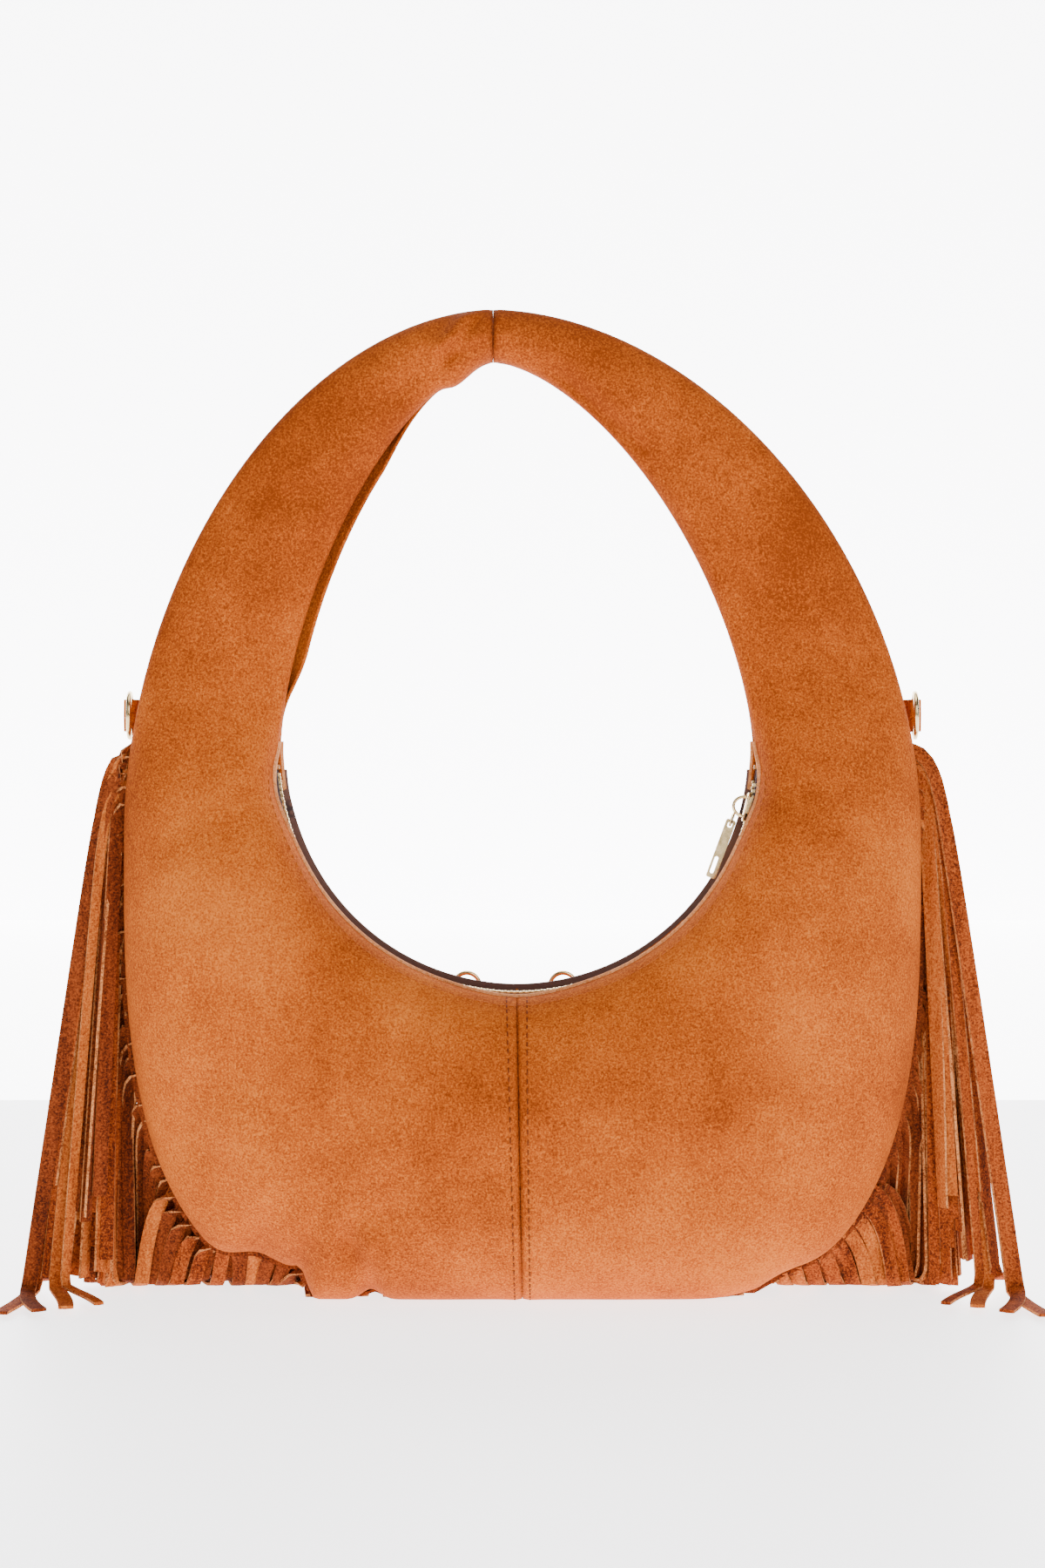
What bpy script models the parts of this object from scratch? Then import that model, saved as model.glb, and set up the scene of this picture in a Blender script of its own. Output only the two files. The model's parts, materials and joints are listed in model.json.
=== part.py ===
"""Crescent shoulder bag in soft suede with a long cut fringe.

Metres, +Z up.  The bag stands on z = 0 with its centre at x = 0.  The plain back faces -Y and
the fringed front faces +Y; the seam that joins them lies in the plane y = 0.
"""
import math

import bmesh
import bpy
from mathutils import Matrix, Vector

MM = 0.001
CLEAR = 0.3 * MM          # air left between neighbouring pieces

# ---------------------------------------------------------------- crescent outline (XZ plane)
OUTER_HALF_WIDTH = 190 * MM
OUTER_MID_Z = 224.6 * MM
OUTER_TOP_RISE = 247.4 * MM
OUTER_SINK = 238 * MM     # the round bottom, before the floor flattens it
OUTER_TOP_POWER = 1.87
OUTER_BOTTOM_POWER = 3.3
CROWN_X = -14 * MM        # the top of the strap leans a little to the left
ZIP_X = -2.7 * MM         # centre of the round zip arc
ZIP_Z = 260 * MM
ZIP_RADIUS = 113 * MM
INNER_TOP_RISE = 187 * MM
INNER_TOP_POWER = 1.6

# ---------------------------------------------------------------- section through the bag
BODY_HALF_DEPTH = 48 * MM
STRAP_HALF_DEPTH = 13 * MM
LIP_HALF_GAP = 11 * MM
SEAM_GAP = 0.8 * MM       # from the plane y = 0 to the rim of each panel
CREST = 0.45              # where across the section the bag is deepest
SUEDE = 1.6 * MM
FRINGE_SUEDE = 1.4 * MM
BASE_LIFT = 2.4 * MM      # the front panel rests on the fringe that is sewn under it

# ---------------------------------------------------------------- zip
TAPE_TOP = ZIP_RADIUS + 2.3 * MM
TAPE = 0.8 * MM
TAPE_IN = 2.0 * MM
ROW_TOP = ZIP_RADIUS + 0.5 * MM
ROW_BOTTOM = ZIP_RADIUS + 2.0 * MM
ROW_IN = 0.9 * MM
ROW_OUT = 3.2 * MM
ZIP_END_LEFT = math.radians(-176)
ZIP_END_RIGHT = math.radians(-4)
SLIDER_ANGLE = math.radians(-13)
SLIDER_LENGTH = 14 * MM
SLIDER_HALF_WIDTH = 4.8 * MM
PIVOT_RADIUS = 107.6 * MM
PIVOT_ANGLE = math.radians(-15.5)
PULL_LENGTH = 29.5 * MM
PULL_WIDTH = 4.8 * MM
PULL_THICK = 1.2 * MM
PULL_LEAN = math.radians(20.4)   # from the vertical, towards the middle of the bag
LINK_LENGTH = 5.6 * MM
LINK_HALF_WIDTH = 2.1 * MM
LINK_WIRE = 1.1 * MM

# ---------------------------------------------------------------- rings and their tabs
D_BAR = 21.4 * MM
D_DEPTH = 13.5 * MM
D_WIRE = 2.6 * MM
D_Z = 278.5 * MM
D_BAR_X = 189.2 * MM
D_BAR_Y = 12 * MM
D_REST = math.radians(5)
O_RADIUS = 6.4 * MM
O_WIRE = 2.2 * MM
O_Y = 37 * MM
O_Z = 146 * MM
O_PLACES = (-27.5 * MM, 20 * MM)
TAB = 1.3 * MM
D_TAB_WIDTH = 15.5 * MM
O_TAB_WIDTH = 8 * MM

# ---------------------------------------------------------------- fringe
FRINGE_LENGTH = 200 * MM
STRIP_PITCH = 8 * MM
SLIT = 0.7 * MM
SIDE_TOP_Z = 262 * MM
SIDE_REACH = 50 * MM      # how far the side fringe swings out from the widest place
SIDE_DEPTH = 22 * MM

COLLECTION = "fringed_suede_bag"


def clear_scene():
    for old in list(bpy.data.objects):
        bpy.data.objects.remove(old, do_unlink=True)


def material(name, colour, roughness, metallic=0.0):
    made = bpy.data.materials.new(name)
    made.use_nodes = True
    shader = made.node_tree.nodes["Principled BSDF"]
    shader.inputs["Base Color"].default_value = (*colour, 1.0)
    shader.inputs["Roughness"].default_value = roughness
    shader.inputs["Metallic"].default_value = metallic
    return made


def smoothstep(low, high, value):
    t = min(max((value - low) / (high - low), 0.0), 1.0)
    return t * t * (3.0 - 2.0 * t)


# ---------------------------------------------------------------- the crescent as formulas
def superellipse(angle, half_x, half_z, power):
    """Distance from the centre to a rounded outline, along one direction."""
    across = abs(math.cos(angle)) / half_x
    along = abs(math.sin(angle)) / half_z
    return (across ** power + along ** power) ** (-1.0 / power)


def outer_point(angle):
    c, s = math.cos(angle), math.sin(angle)
    if s >= 0.0:
        half_x = OUTER_HALF_WIDTH - CROWN_X if c > 0.0 else OUTER_HALF_WIDTH + CROWN_X
        r = superellipse(angle, half_x, OUTER_TOP_RISE, OUTER_TOP_POWER)
        return CROWN_X + r * c, OUTER_MID_Z + r * s
    r = superellipse(angle, OUTER_HALF_WIDTH, OUTER_SINK, OUTER_BOTTOM_POWER)
    return r * c, OUTER_MID_Z + r * s


def inner_point(angle):
    c, s = math.cos(angle), math.sin(angle)
    if s >= 0.0:
        half_x = ZIP_RADIUS + (ZIP_X - CROWN_X) * (1.0 if c > 0.0 else -1.0)
        r = superellipse(angle, half_x, INNER_TOP_RISE, INNER_TOP_POWER)
        return CROWN_X + r * c, ZIP_Z + r * s
    return ZIP_X + ZIP_RADIUS * c, ZIP_Z + ZIP_RADIUS * s


def lip_half_gap(angle):
    """Half the width of the mouth: it closes into the inner seam at both ends of the zip."""
    open_part = smoothstep(-0.1, 0.35, -math.sin(angle))
    return SEAM_GAP + (LIP_HALF_GAP - SEAM_GAP) * open_part


def half_depth(angle):
    fullness = smoothstep(-0.55, 0.6, -math.sin(angle))
    return STRAP_HALF_DEPTH + (BODY_HALF_DEPTH - STRAP_HALF_DEPTH) * fullness


def section_point(angle, across):
    """A point of the front half: across runs 0 at the mouth, 1 at the crest, 2 at the seam."""
    lip, depth = lip_half_gap(angle), half_depth(angle)
    turn = min(across, 1.0) * math.pi / 2.0
    if across <= 1.0:
        part = CREST * (1.0 - math.cos(turn))
        y = lip + (depth - lip) * math.sin(turn)
    else:
        turn = (across - 1.0) * math.pi / 2.0
        part = CREST + (1.0 - CREST) * math.sin(turn)
        y = SEAM_GAP + (depth - SEAM_GAP) * math.cos(turn)
    (x0, z0), (x1, z1) = inner_point(angle), outer_point(angle)
    return Vector((x0 + (x1 - x0) * part, y, z0 + (z1 - z0) * part))


# ---------------------------------------------------------------- building helpers
def add_object(name, mesh, finish, parent=None, location=(0, 0, 0), rotation=(0, 0, 0)):
    made = bpy.data.objects.new(name, mesh)
    made.data.materials.append(finish)
    made.location = location
    made.rotation_euler = rotation
    made.parent = parent
    bpy.data.collections[COLLECTION].objects.link(made)
    return made


def mesh_from(bm, name, smooth=True):
    bmesh.ops.recalc_face_normals(bm, faces=bm.faces)
    mesh = bpy.data.meshes.new(name)
    bm.to_mesh(mesh)
    bm.free()
    if smooth:
        mesh.shade_smooth()
        mesh.set_sharp_from_angle(angle=math.radians(40))
    return mesh


def sheet_mesh(name, rows, facing, inset=0.0, floor=None):
    """An open grid of points turned to face a direction, moved inwards by an inset."""
    bm = bmesh.new()
    grid = [[bm.verts.new(point) for point in row] for row in rows]
    for upper, lower in zip(grid, grid[1:]):
        for i in range(len(upper) - 1):
            bm.faces.new((upper[i], upper[i + 1], lower[i + 1], lower[i]))
    bm.normal_update()
    total = sum((face.normal for face in bm.faces), Vector())
    if total.dot(facing) < 0.0:
        bmesh.ops.reverse_faces(bm, faces=bm.faces)
    bm.normal_update()
    for vert in bm.verts:
        vert.co = vert.co - vert.normal * inset
    if floor is not None:
        for vert in bm.verts:
            vert.co.z = max(vert.co.z, floor)
    mesh = bpy.data.meshes.new(name)
    bm.to_mesh(mesh)
    bm.free()
    mesh.shade_smooth()
    mesh.set_sharp_from_angle(angle=math.radians(40))
    return mesh


def add_sheet(name, mesh, thickness, finish, offset=-1.0):
    made = add_object(name, mesh, finish)
    solid = made.modifiers.new("thickness", "SOLIDIFY")
    solid.thickness = thickness
    solid.offset = offset
    return made


def loft_mesh(name, rings, closed_ring=True):
    """Skin a row of closed rings and cap both ends."""
    bm = bmesh.new()
    loops = [[bm.verts.new(point) for point in ring] for ring in rings]
    count = len(loops[0])
    for a, b in zip(loops, loops[1:]):
        for i in range(count):
            j = (i + 1) % count
            bm.faces.new((a[i], a[j], b[j], b[i]))
    bm.faces.new(loops[0])
    bm.faces.new(loops[-1])
    return mesh_from(bm, name)


def steps(start, end, count):
    return [start + (end - start) * i / count for i in range(count + 1)]


# ---------------------------------------------------------------- suede panels
PANEL_STEPS = 28
ACROSS = [0.0, 0.12, 0.35, 0.65, 1.0, 1.3, 1.55, 1.78, 1.92, 2.0]


def add_panels(finish):
    top, bottom = math.pi / 2.0, -math.pi / 2.0
    side_gap = 0.0016
    sides = {"right": (bottom + side_gap, top - side_gap),
             "left": (top + side_gap, 3.0 * math.pi / 2.0 - side_gap)}
    for face_name, sign in (("back", -1.0), ("front", 1.0)):
        floor = 0.0 if sign < 0.0 else BASE_LIFT
        for side, (start, end) in sides.items():
            rows = []
            for angle in steps(start, end, PANEL_STEPS):
                points = [section_point(angle, a) for a in ACROSS]
                rows.append([Vector((p.x, sign * p.y, p.z)) for p in points])
            name = f"{face_name}_panel_{side}"
            mesh = sheet_mesh(name, rows, Vector((0, sign, 0)), floor=floor)
            add_sheet(name, mesh, SUEDE, finish)


def add_lining(finish):
    inset = SUEDE + 3.6 * MM
    for face_name, sign in (("back", -1.0), ("front", 1.0)):
        rows = []
        for angle in steps(math.radians(193), math.radians(347), 24):
            points = [section_point(angle, a) for a in (0.0, 0.35, 0.8, 1.2, 1.55, 1.8, 1.93)]
            rows.append([Vector((p.x, sign * p.y, p.z)) for p in points])
        mesh = sheet_mesh(f"lining_{face_name}", rows, Vector((0, sign, 0)), inset,
                          floor=BASE_LIFT + inset)
        add_sheet(f"lining_{face_name}", mesh, 0.6 * MM, finish)


def add_strap_padding(finish):
    """A soft round core keeps each strap arm full."""
    shrink = SUEDE + 1.6 * MM
    for side, start, end in (("right", 14, 89), ("left", 166, 91)):
        rings = []
        for angle in steps(math.radians(start), math.radians(end), 10):
            (x0, z0), (x1, z1) = inner_point(angle), outer_point(angle)
            centre = Vector((x0 + (x1 - x0) * CREST, 0.0, z0 + (z1 - z0) * CREST))
            width = math.hypot(x1 - x0, z1 - z0)
            radial = Vector((x1 - x0, 0.0, z1 - z0)).normalized()
            depth = half_depth(angle) - shrink
            ring = []
            for turn in steps(0.0, math.tau, 10)[:-1]:
                c = math.cos(turn)
                reach = width * ((1.0 - CREST) if c > 0.0 else CREST) - shrink * 1.3
                ring.append(centre + radial * (reach * c) + Vector((0, depth * math.sin(turn), 0)))
            rings.append(ring)
        add_object(f"strap_padding_{side}", loft_mesh(f"strap_padding_{side}", rings), finish)


# ---------------------------------------------------------------- zip
def arc_point(angle, radius, y):
    return Vector((ZIP_X + radius * math.cos(angle), y, ZIP_Z + radius * math.sin(angle)))


def arc_strip(name, inner_r, outer_r, near_y, far_y, count):
    """A flat strip bent round the zip's arc; far_y is a function of the angle."""
    rings = []
    for angle in steps(ZIP_END_LEFT, ZIP_END_RIGHT, count):
        y = far_y(angle)
        rings.append([arc_point(angle, inner_r, near_y), arc_point(angle, inner_r, y),
                      arc_point(angle, outer_r, y), arc_point(angle, outer_r, near_y)])
    return loft_mesh(name, rings)


def add_zip_rows(cloth, metal):
    for face_name, sign in (("back", -1.0), ("front", 1.0)):
        tape = arc_strip(f"zip_tape_{face_name}", TAPE_TOP, TAPE_TOP + TAPE, sign * TAPE_IN,
                         lambda a: sign * min(lip_half_gap(a) + 1.5 * MM, 12.5 * MM), 36)
        add_object(f"zip_tape_{face_name}", tape, cloth)
        row = arc_strip(f"zip_teeth_{face_name}", ROW_TOP, ROW_BOTTOM, sign * ROW_IN,
                        lambda a: sign * ROW_OUT, 48)
        add_object(f"zip_teeth_{face_name}", row, metal)


def box_mesh(name, size, centre, bevel=0.3 * MM):
    bm = bmesh.new()
    bmesh.ops.create_cube(bm, size=1.0)
    for vert in bm.verts:
        vert.co = Vector(centre) + Vector(c * s for c, s in zip(vert.co, size))
    bmesh.ops.bevel(bm, geom=bm.edges[:], offset=bevel, segments=1, affect="EDGES")
    return mesh_from(bm, name)


def add_zip_stops(metal):
    """A plain metal stop closes each end of the chain."""
    for name, angle in (("zip_stop_left", ZIP_END_LEFT - 0.014),
                        ("zip_stop_right", ZIP_END_RIGHT + 0.014)):
        size = (2.4 * MM, 4.4 * MM, 1.6 * MM)
        mesh = box_mesh(name, size, (0, 0, -(ROW_TOP + ROW_BOTTOM) / 2.0))
        add_object(name, mesh, metal, location=(ZIP_X, 0, ZIP_Z),
                   rotation=(0, -angle - math.pi / 2.0, 0))


def extruded(name, splines, thickness, plane="XZ", bevel=0.0):
    """A flat outline with holes, given thickness and made a mesh."""
    curve = bpy.data.curves.new(name, "CURVE")
    curve.dimensions = "2D"
    curve.fill_mode = "BOTH"
    curve.extrude = thickness / 2.0 - bevel
    curve.bevel_depth = bevel
    curve.bevel_resolution = 0
    curve.offset = -bevel
    for points in splines:
        spline = curve.splines.new("POLY")
        spline.points.add(len(points) - 1)
        spline.use_cyclic_u = True
        for spot, (x, y) in zip(spline.points, points):
            spot.co = (x, y, 0.0, 1.0)
    return weld_curve(curve, name, plane)


def weld_curve(curve, name, plane="XY"):
    """Turn a curve into one welded closed mesh."""
    holder = bpy.data.objects.new(name + "_curve", curve)
    bpy.context.scene.collection.objects.link(holder)
    graph = bpy.context.evaluated_depsgraph_get()
    mesh = bpy.data.meshes.new_from_object(holder.evaluated_get(graph))
    bpy.data.objects.remove(holder, do_unlink=True)
    bm = bmesh.new()
    bm.from_mesh(mesh)
    bmesh.ops.remove_doubles(bm, verts=bm.verts, dist=0.00001)
    if plane == "XZ":
        bmesh.ops.transform(bm, matrix=Matrix.Rotation(math.pi / 2.0, 4, "X"), verts=bm.verts)
    return mesh_from(bm, name)


def rounded_rect(half_x, half_y, radius, centre=(0.0, 0.0), corner=4):
    points = []
    for quarter, (sx, sy) in enumerate(((1, 1), (-1, 1), (-1, -1), (1, -1))):
        for turn in steps(quarter * math.pi / 2.0, (quarter + 1) * math.pi / 2.0, corner):
            points.append((centre[0] + sx * (half_x - radius) + radius * math.cos(turn),
                           centre[1] + sy * (half_y - radius) + radius * math.sin(turn)))
    return points


def wire_mesh(name, points, diameter, cyclic):
    curve = bpy.data.curves.new(name, "CURVE")
    curve.dimensions = "3D"
    curve.bevel_depth = diameter / 2.0
    curve.bevel_resolution = 2
    curve.use_fill_caps = not cyclic
    spline = curve.splines.new("POLY")
    spline.points.add(len(points) - 1)
    spline.use_cyclic_u = cyclic
    for spot, point in zip(spline.points, points):
        spot.co = (*point, 1.0)
    return weld_curve(curve, name)


def add_slider(metal):
    """Two plates on a post that runs between the rows, with an arched bail on top."""
    half = SLIDER_LENGTH / 2.0
    upper_z = -ZIP_RADIUS + 0.6 * MM
    lower_z = -(TAPE_TOP + TAPE + 1.4 * MM)
    plate = (SLIDER_LENGTH, 2.0 * SLIDER_HALF_WIDTH, 1.3 * MM)
    body = add_object("zip_slider", box_mesh("zip_slider", plate, (0, 0, upper_z)), metal,
                      location=(ZIP_X, 0, ZIP_Z), rotation=(0, -SLIDER_ANGLE - math.pi / 2, 0))
    under = box_mesh("slider_under", (SLIDER_LENGTH * 0.9, plate[1] * 0.9, 1.2 * MM),
                     (0, 0, lower_z))
    post = box_mesh("slider_post", (SLIDER_LENGTH * 0.4, 1.1 * MM, upper_z - lower_z),
                    (0, 0, (upper_z + lower_z) / 2.0), 0.1 * MM)
    rise = ZIP_RADIUS - 0.6 * MM - PIVOT_RADIUS + 1.3 * MM
    arch = [((half - 2.4 * MM) * math.cos(t), 0.0, upper_z + rise * math.sin(t))
            for t in steps(0.0, math.pi, 10)]
    bail = wire_mesh("slider_bail", arch, 1.5 * MM, cyclic=False)
    for cutter_name, mesh in (("under", under), ("post", post), ("bail", bail)):
        helper = bpy.data.objects.new("join_" + cutter_name, mesh)
        helper.location, helper.rotation_euler = body.location, body.rotation_euler
        helper.hide_render = True
        helper.display_type = "WIRE"
        bpy.data.collections["joining_shapes"].objects.link(helper)
        union = body.modifiers.new("join_" + cutter_name, "BOOLEAN")
        union.operation = "UNION"
        union.object = helper
    return body


def add_pull(metal):
    """The link hangs in the bail, and the flat pull hangs in the link."""
    pivot = arc_point(PIVOT_ANGLE, PIVOT_RADIUS, 0.0)
    turn = (0.0, PULL_LEAN, 0.0)
    link_points = [(y, 0.0, z - LINK_LENGTH / 2.0) for y, z in
                   rounded_rect(LINK_HALF_WIDTH, LINK_LENGTH / 2.0 + 0.2 * MM, 1.2 * MM, corner=3)]
    link = wire_mesh("pull_link", [(0.0, x, z) for x, _, z in link_points], LINK_WIRE, cyclic=True)
    add_object("pull_link", link, metal, location=pivot, rotation=turn)
    half_w = PULL_WIDTH / 2.0
    centre_z = -LINK_LENGTH - PULL_LENGTH / 2.0 + 2.6 * MM
    outline = rounded_rect(half_w, PULL_LENGTH / 2.0, 1.0 * MM, (0.0, centre_z))
    eye = rounded_rect(1.1 * MM, 1.3 * MM, 0.9 * MM, (0.0, -LINK_LENGTH))
    slot = rounded_rect(0.9 * MM, 4.2 * MM, 0.8 * MM,
                        (-0.4 * MM, centre_z - PULL_LENGTH / 2.0 + 6.4 * MM))
    mesh = extruded("zip_pull", [outline, eye, slot], PULL_THICK, "XZ")
    add_object("zip_pull", mesh, metal, location=pivot, rotation=turn)


# ---------------------------------------------------------------- rings and tabs
def add_side_rings(metal, suede):
    for side, sign in (("left", -1.0), ("right", 1.0)):
        half = D_BAR / 2.0
        points = [(0.0, 0.0, z) for z in steps(-half + 1.5 * MM, half - 1.5 * MM, 2)]
        for t in steps(math.pi / 2.0, -math.pi / 2.0, 14):
            points.append((0.0, -2.0 * MM - (D_DEPTH - 2.0 * MM) * math.cos(t) ** 0.8
                           if abs(math.cos(t)) > 0.01 else -2.0 * MM, half * math.sin(t)))
        mesh = wire_mesh(f"side_ring_{side}", points, D_WIRE, cyclic=True)
        add_object(f"side_ring_{side}", mesh, metal,
                   location=(sign * D_BAR_X, D_BAR_Y, D_Z), rotation=(0, 0, -sign * D_REST))
        loop = D_WIRE / 2.0 + CLEAR + TAB / 2.0
        tail = [(sign * D_BAR_X + sign * loop * math.cos(t), D_BAR_Y - loop * math.sin(t))
                for t in steps(0.0, math.pi, 8)]
        outer_tail = [(sign * (D_BAR_X - dx * MM), D_BAR_Y + dy * MM)
                      for dx, dy in ((26.2, 11.0), (16.2, 9.4), (7.2, 7.4), (0.8, 4.8))]
        inner_tail = [(sign * (D_BAR_X - dx * MM), D_BAR_Y + dy * MM)
                      for dx, dy in ((3.6, 2.2), (7.2, 4.2), (15.2, 6.3), (25.7, 8.2))]
        path = outer_tail + tail + inner_tail
        rows = [[Vector((x, y, D_Z + z)) for x, y in path]
                for z in (-D_TAB_WIDTH / 2.0, D_TAB_WIDTH / 2.0)]
        sheet = sheet_mesh(f"side_tab_{side}", rows, Vector((0, 0, 1)))
        add_sheet(f"side_tab_{side}", sheet, TAB, suede, offset=0.0)


def add_front_rings(metal, suede):
    for side, x in zip(("left", "right"), O_PLACES):
        points = [(O_RADIUS * math.cos(t), 0.0, O_RADIUS * math.sin(t))
                  for t in steps(0.0, math.tau, 20)[:-1]]
        mesh = wire_mesh(f"front_ring_{side}", points, O_WIRE, cyclic=True)
        add_object(f"front_ring_{side}", mesh, metal, location=(x, O_Y, O_Z))
        loop = 3.6 * MM
        grip_z = O_Z - O_RADIUS
        bend = [(O_Y - loop * math.cos(t), grip_z + loop * math.sin(t))
                for t in steps(-0.5, math.pi + 0.5, 9)]
        outer_tail = [(O_Y + 9.0 * MM, grip_z - 22.6 * MM), (O_Y + 5.2 * MM, grip_z - 11.6 * MM)]
        inner_tail = [(O_Y + 2.6 * MM, grip_z - 11.6 * MM), (O_Y + 6.6 * MM, grip_z - 22.2 * MM)]
        path = inner_tail[::-1] + bend + outer_tail[::-1]
        rows = [[Vector((x + w, y, z)) for y, z in path]
                for w in (-O_TAB_WIDTH / 2.0, O_TAB_WIDTH / 2.0)]
        sheet = sheet_mesh(f"front_tab_{side}", rows, Vector((1, 0, 0)))
        add_sheet(f"front_tab_{side}", sheet, TAB, suede, offset=0.0)


# ---------------------------------------------------------------- fringe
def outline_x(z):
    """Half width of the crescent at a height, on the outside."""
    low, high = (0.0, math.pi / 2.0) if z >= OUTER_MID_Z else (-math.pi / 2.0, 0.0)
    for _ in range(40):
        middle = (low + high) / 2.0
        if outer_point(middle)[1] < z:
            low = middle
        else:
            high = middle
    return outer_point(low)[0]


def add_side_fringe(finish):
    """The fringe sewn into each side seam hangs as a thick bunch of strips."""
    heights = [SIDE_TOP_Z, 240 * MM, 205 * MM, 160 * MM, 110 * MM, 60 * MM, 25 * MM, 0.5 * MM]
    for side, sign in (("left", -1.0), ("right", 1.0)):
        rings = []
        for z in heights:
            fall = (SIDE_TOP_Z - z) / SIDE_TOP_Z
            inner_x = max(outline_x(z), 184 * MM if z < OUTER_MID_Z else 0.0) + 1.0 * MM
            reach = 4 * MM + (SIDE_REACH - 4 * MM) * math.sin(min(fall * 1.35, 1.0) * math.pi / 2)
            depth = 3 * MM + (SIDE_DEPTH - 3 * MM) * smoothstep(0.0, 0.4, fall)
            strips = 6
            ring = []
            for i in range(strips * 2 + 1):
                ring.append((inner_x + reach * i / (strips * 2),
                             1.0 * MM + (1.2 * MM if i % 2 else 0.0) * min(fall * 4, 1.0)))
            for i in range(strips * 2, -1, -1):
                ring.append((inner_x + reach * i / (strips * 2),
                             1.4 * MM + depth - (1.2 * MM if i % 2 else 0.0) * min(fall * 4, 1)))
            rings.append([Vector((sign * x, y, z)) for x, y in ring])
        name = f"side_fringe_{side}"
        add_object(name, loft_mesh(name, rings), finish)


def base_seam_z(x):
    low, high = -math.pi / 2.0, 0.0
    for _ in range(40):
        middle = (low + high) / 2.0
        if outer_point(middle)[0] < x:
            low = middle
        else:
            high = middle
    return max(outer_point(low)[1], 0.0)


def fringe_path(x):
    """Side view (y, z) of one base strip: down from the seam, then out along the floor."""
    floor = CLEAR + FRINGE_SUEDE / 2.0
    root = max(base_seam_z(x) - 1.6 * MM, floor)
    drop = root - floor
    bend = min(drop, 9.0 * MM)
    points = [(0.8 * MM, root)]
    if drop > 1.0 * MM:
        points.append((0.8 * MM + drop * 0.12, floor + bend))
        points.append((0.8 * MM + drop * 0.12 + bend * 0.35, floor + bend * 0.3))
    start = 0.8 * MM + drop * 0.12 + max(bend, 6.0 * MM)
    end = 0.8 * MM + FRINGE_LENGTH - drop * 0.9
    points += [(y, floor) for y in steps(start, end, 2)]
    while len(points) < 6:
        y, z = points[0]
        points.insert(1, ((y + points[1][0]) / 2.0, (z + points[1][1]) / 2.0))
    return points


def add_base_fringe(finish):
    """A slit strip sewn into the bottom seam, half to each side of the middle."""
    for side, sign in (("left", -1.0), ("right", 1.0)):
        bm = bmesh.new()
        count = 18
        for i in range(count):
            x0 = CLEAR + STRIP_PITCH * i
            x1 = x0 + STRIP_PITCH - SLIT
            x2 = x0 + STRIP_PITCH
            columns = [(x, [bm.verts.new((sign * x, y, z)) for y, z in fringe_path(x)])
                       for x in (x0, x1)]
            left, right = columns[0][1], columns[1][1]
            for k in range(len(left) - 1):
                bm.faces.new((left[k], right[k], right[k + 1], left[k + 1]))
            if i < count - 1:
                following = [bm.verts.new((sign * x2, y, z)) for y, z in fringe_path(x2)[:2]]
                bm.faces.new((right[0], following[0], following[1], right[1]))
        bmesh.ops.remove_doubles(bm, verts=bm.verts, dist=0.00001)
        bm.normal_update()
        total = sum((face.normal for face in bm.faces), Vector())
        if total.z < 0.0:
            bmesh.ops.reverse_faces(bm, faces=bm.faces)
        mesh = bpy.data.meshes.new(f"base_fringe_{side}")
        bm.to_mesh(mesh)
        bm.free()
        add_sheet(f"base_fringe_{side}", mesh, FRINGE_SUEDE, finish, offset=0.0)


def main():
    clear_scene()
    for name in (COLLECTION, "joining_shapes"):
        group = bpy.data.collections.new(name)
        bpy.context.scene.collection.children.link(group)
    suede = material("cognac_suede", (0.56, 0.17, 0.045), 0.95)
    fringe_suede = material("fringe_suede", (0.37, 0.09, 0.025), 0.95)
    lining = material("brown_lining_cloth", (0.07, 0.02, 0.018), 0.85)
    padding = material("white_foam_padding", (0.75, 0.72, 0.66), 0.9)
    gold = material("pale_gold_plate", (0.83, 0.64, 0.38), 0.28, 1.0)
    add_panels(suede)
    add_lining(lining)
    add_strap_padding(padding)
    add_zip_rows(lining, gold)
    add_zip_stops(gold)
    add_slider(gold)
    add_pull(gold)
    add_side_rings(gold, suede)
    add_front_rings(gold, suede)
    add_side_fringe(fringe_suede)
    add_base_fringe(fringe_suede)


main()
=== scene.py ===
"""Looks of a crescent shoulder bag in napped suede with a long cut fringe."""
import json
import logging
import math
import random
from dataclasses import dataclass, field
from enum import Enum
from typing import Iterable, Sequence

import bmesh
import bpy
from mathutils import Matrix, Vector, noise

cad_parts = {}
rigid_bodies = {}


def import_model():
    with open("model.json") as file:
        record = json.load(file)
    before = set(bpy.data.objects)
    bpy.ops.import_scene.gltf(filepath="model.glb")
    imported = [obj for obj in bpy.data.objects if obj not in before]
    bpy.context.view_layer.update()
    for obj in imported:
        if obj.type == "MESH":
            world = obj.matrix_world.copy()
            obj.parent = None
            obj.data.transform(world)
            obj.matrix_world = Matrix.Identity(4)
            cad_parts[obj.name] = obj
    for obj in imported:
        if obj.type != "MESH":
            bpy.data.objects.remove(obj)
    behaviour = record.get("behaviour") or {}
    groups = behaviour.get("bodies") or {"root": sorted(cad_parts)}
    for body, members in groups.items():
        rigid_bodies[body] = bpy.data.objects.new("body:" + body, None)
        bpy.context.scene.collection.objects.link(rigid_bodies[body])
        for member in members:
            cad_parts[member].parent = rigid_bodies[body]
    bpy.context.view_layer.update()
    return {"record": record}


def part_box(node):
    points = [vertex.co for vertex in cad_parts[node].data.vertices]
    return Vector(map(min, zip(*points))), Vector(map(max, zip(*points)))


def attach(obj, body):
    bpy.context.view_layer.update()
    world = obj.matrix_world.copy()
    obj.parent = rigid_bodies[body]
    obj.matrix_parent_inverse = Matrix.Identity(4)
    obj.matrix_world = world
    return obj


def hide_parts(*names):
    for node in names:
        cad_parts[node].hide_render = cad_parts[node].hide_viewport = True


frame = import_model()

MM = 0.001
log = logging.getLogger("bag")


class Face(Enum):
    """The two faces of the bag, valued by the sign of their Y."""

    BACK = -1.0
    FRONT = 1.0


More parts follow.
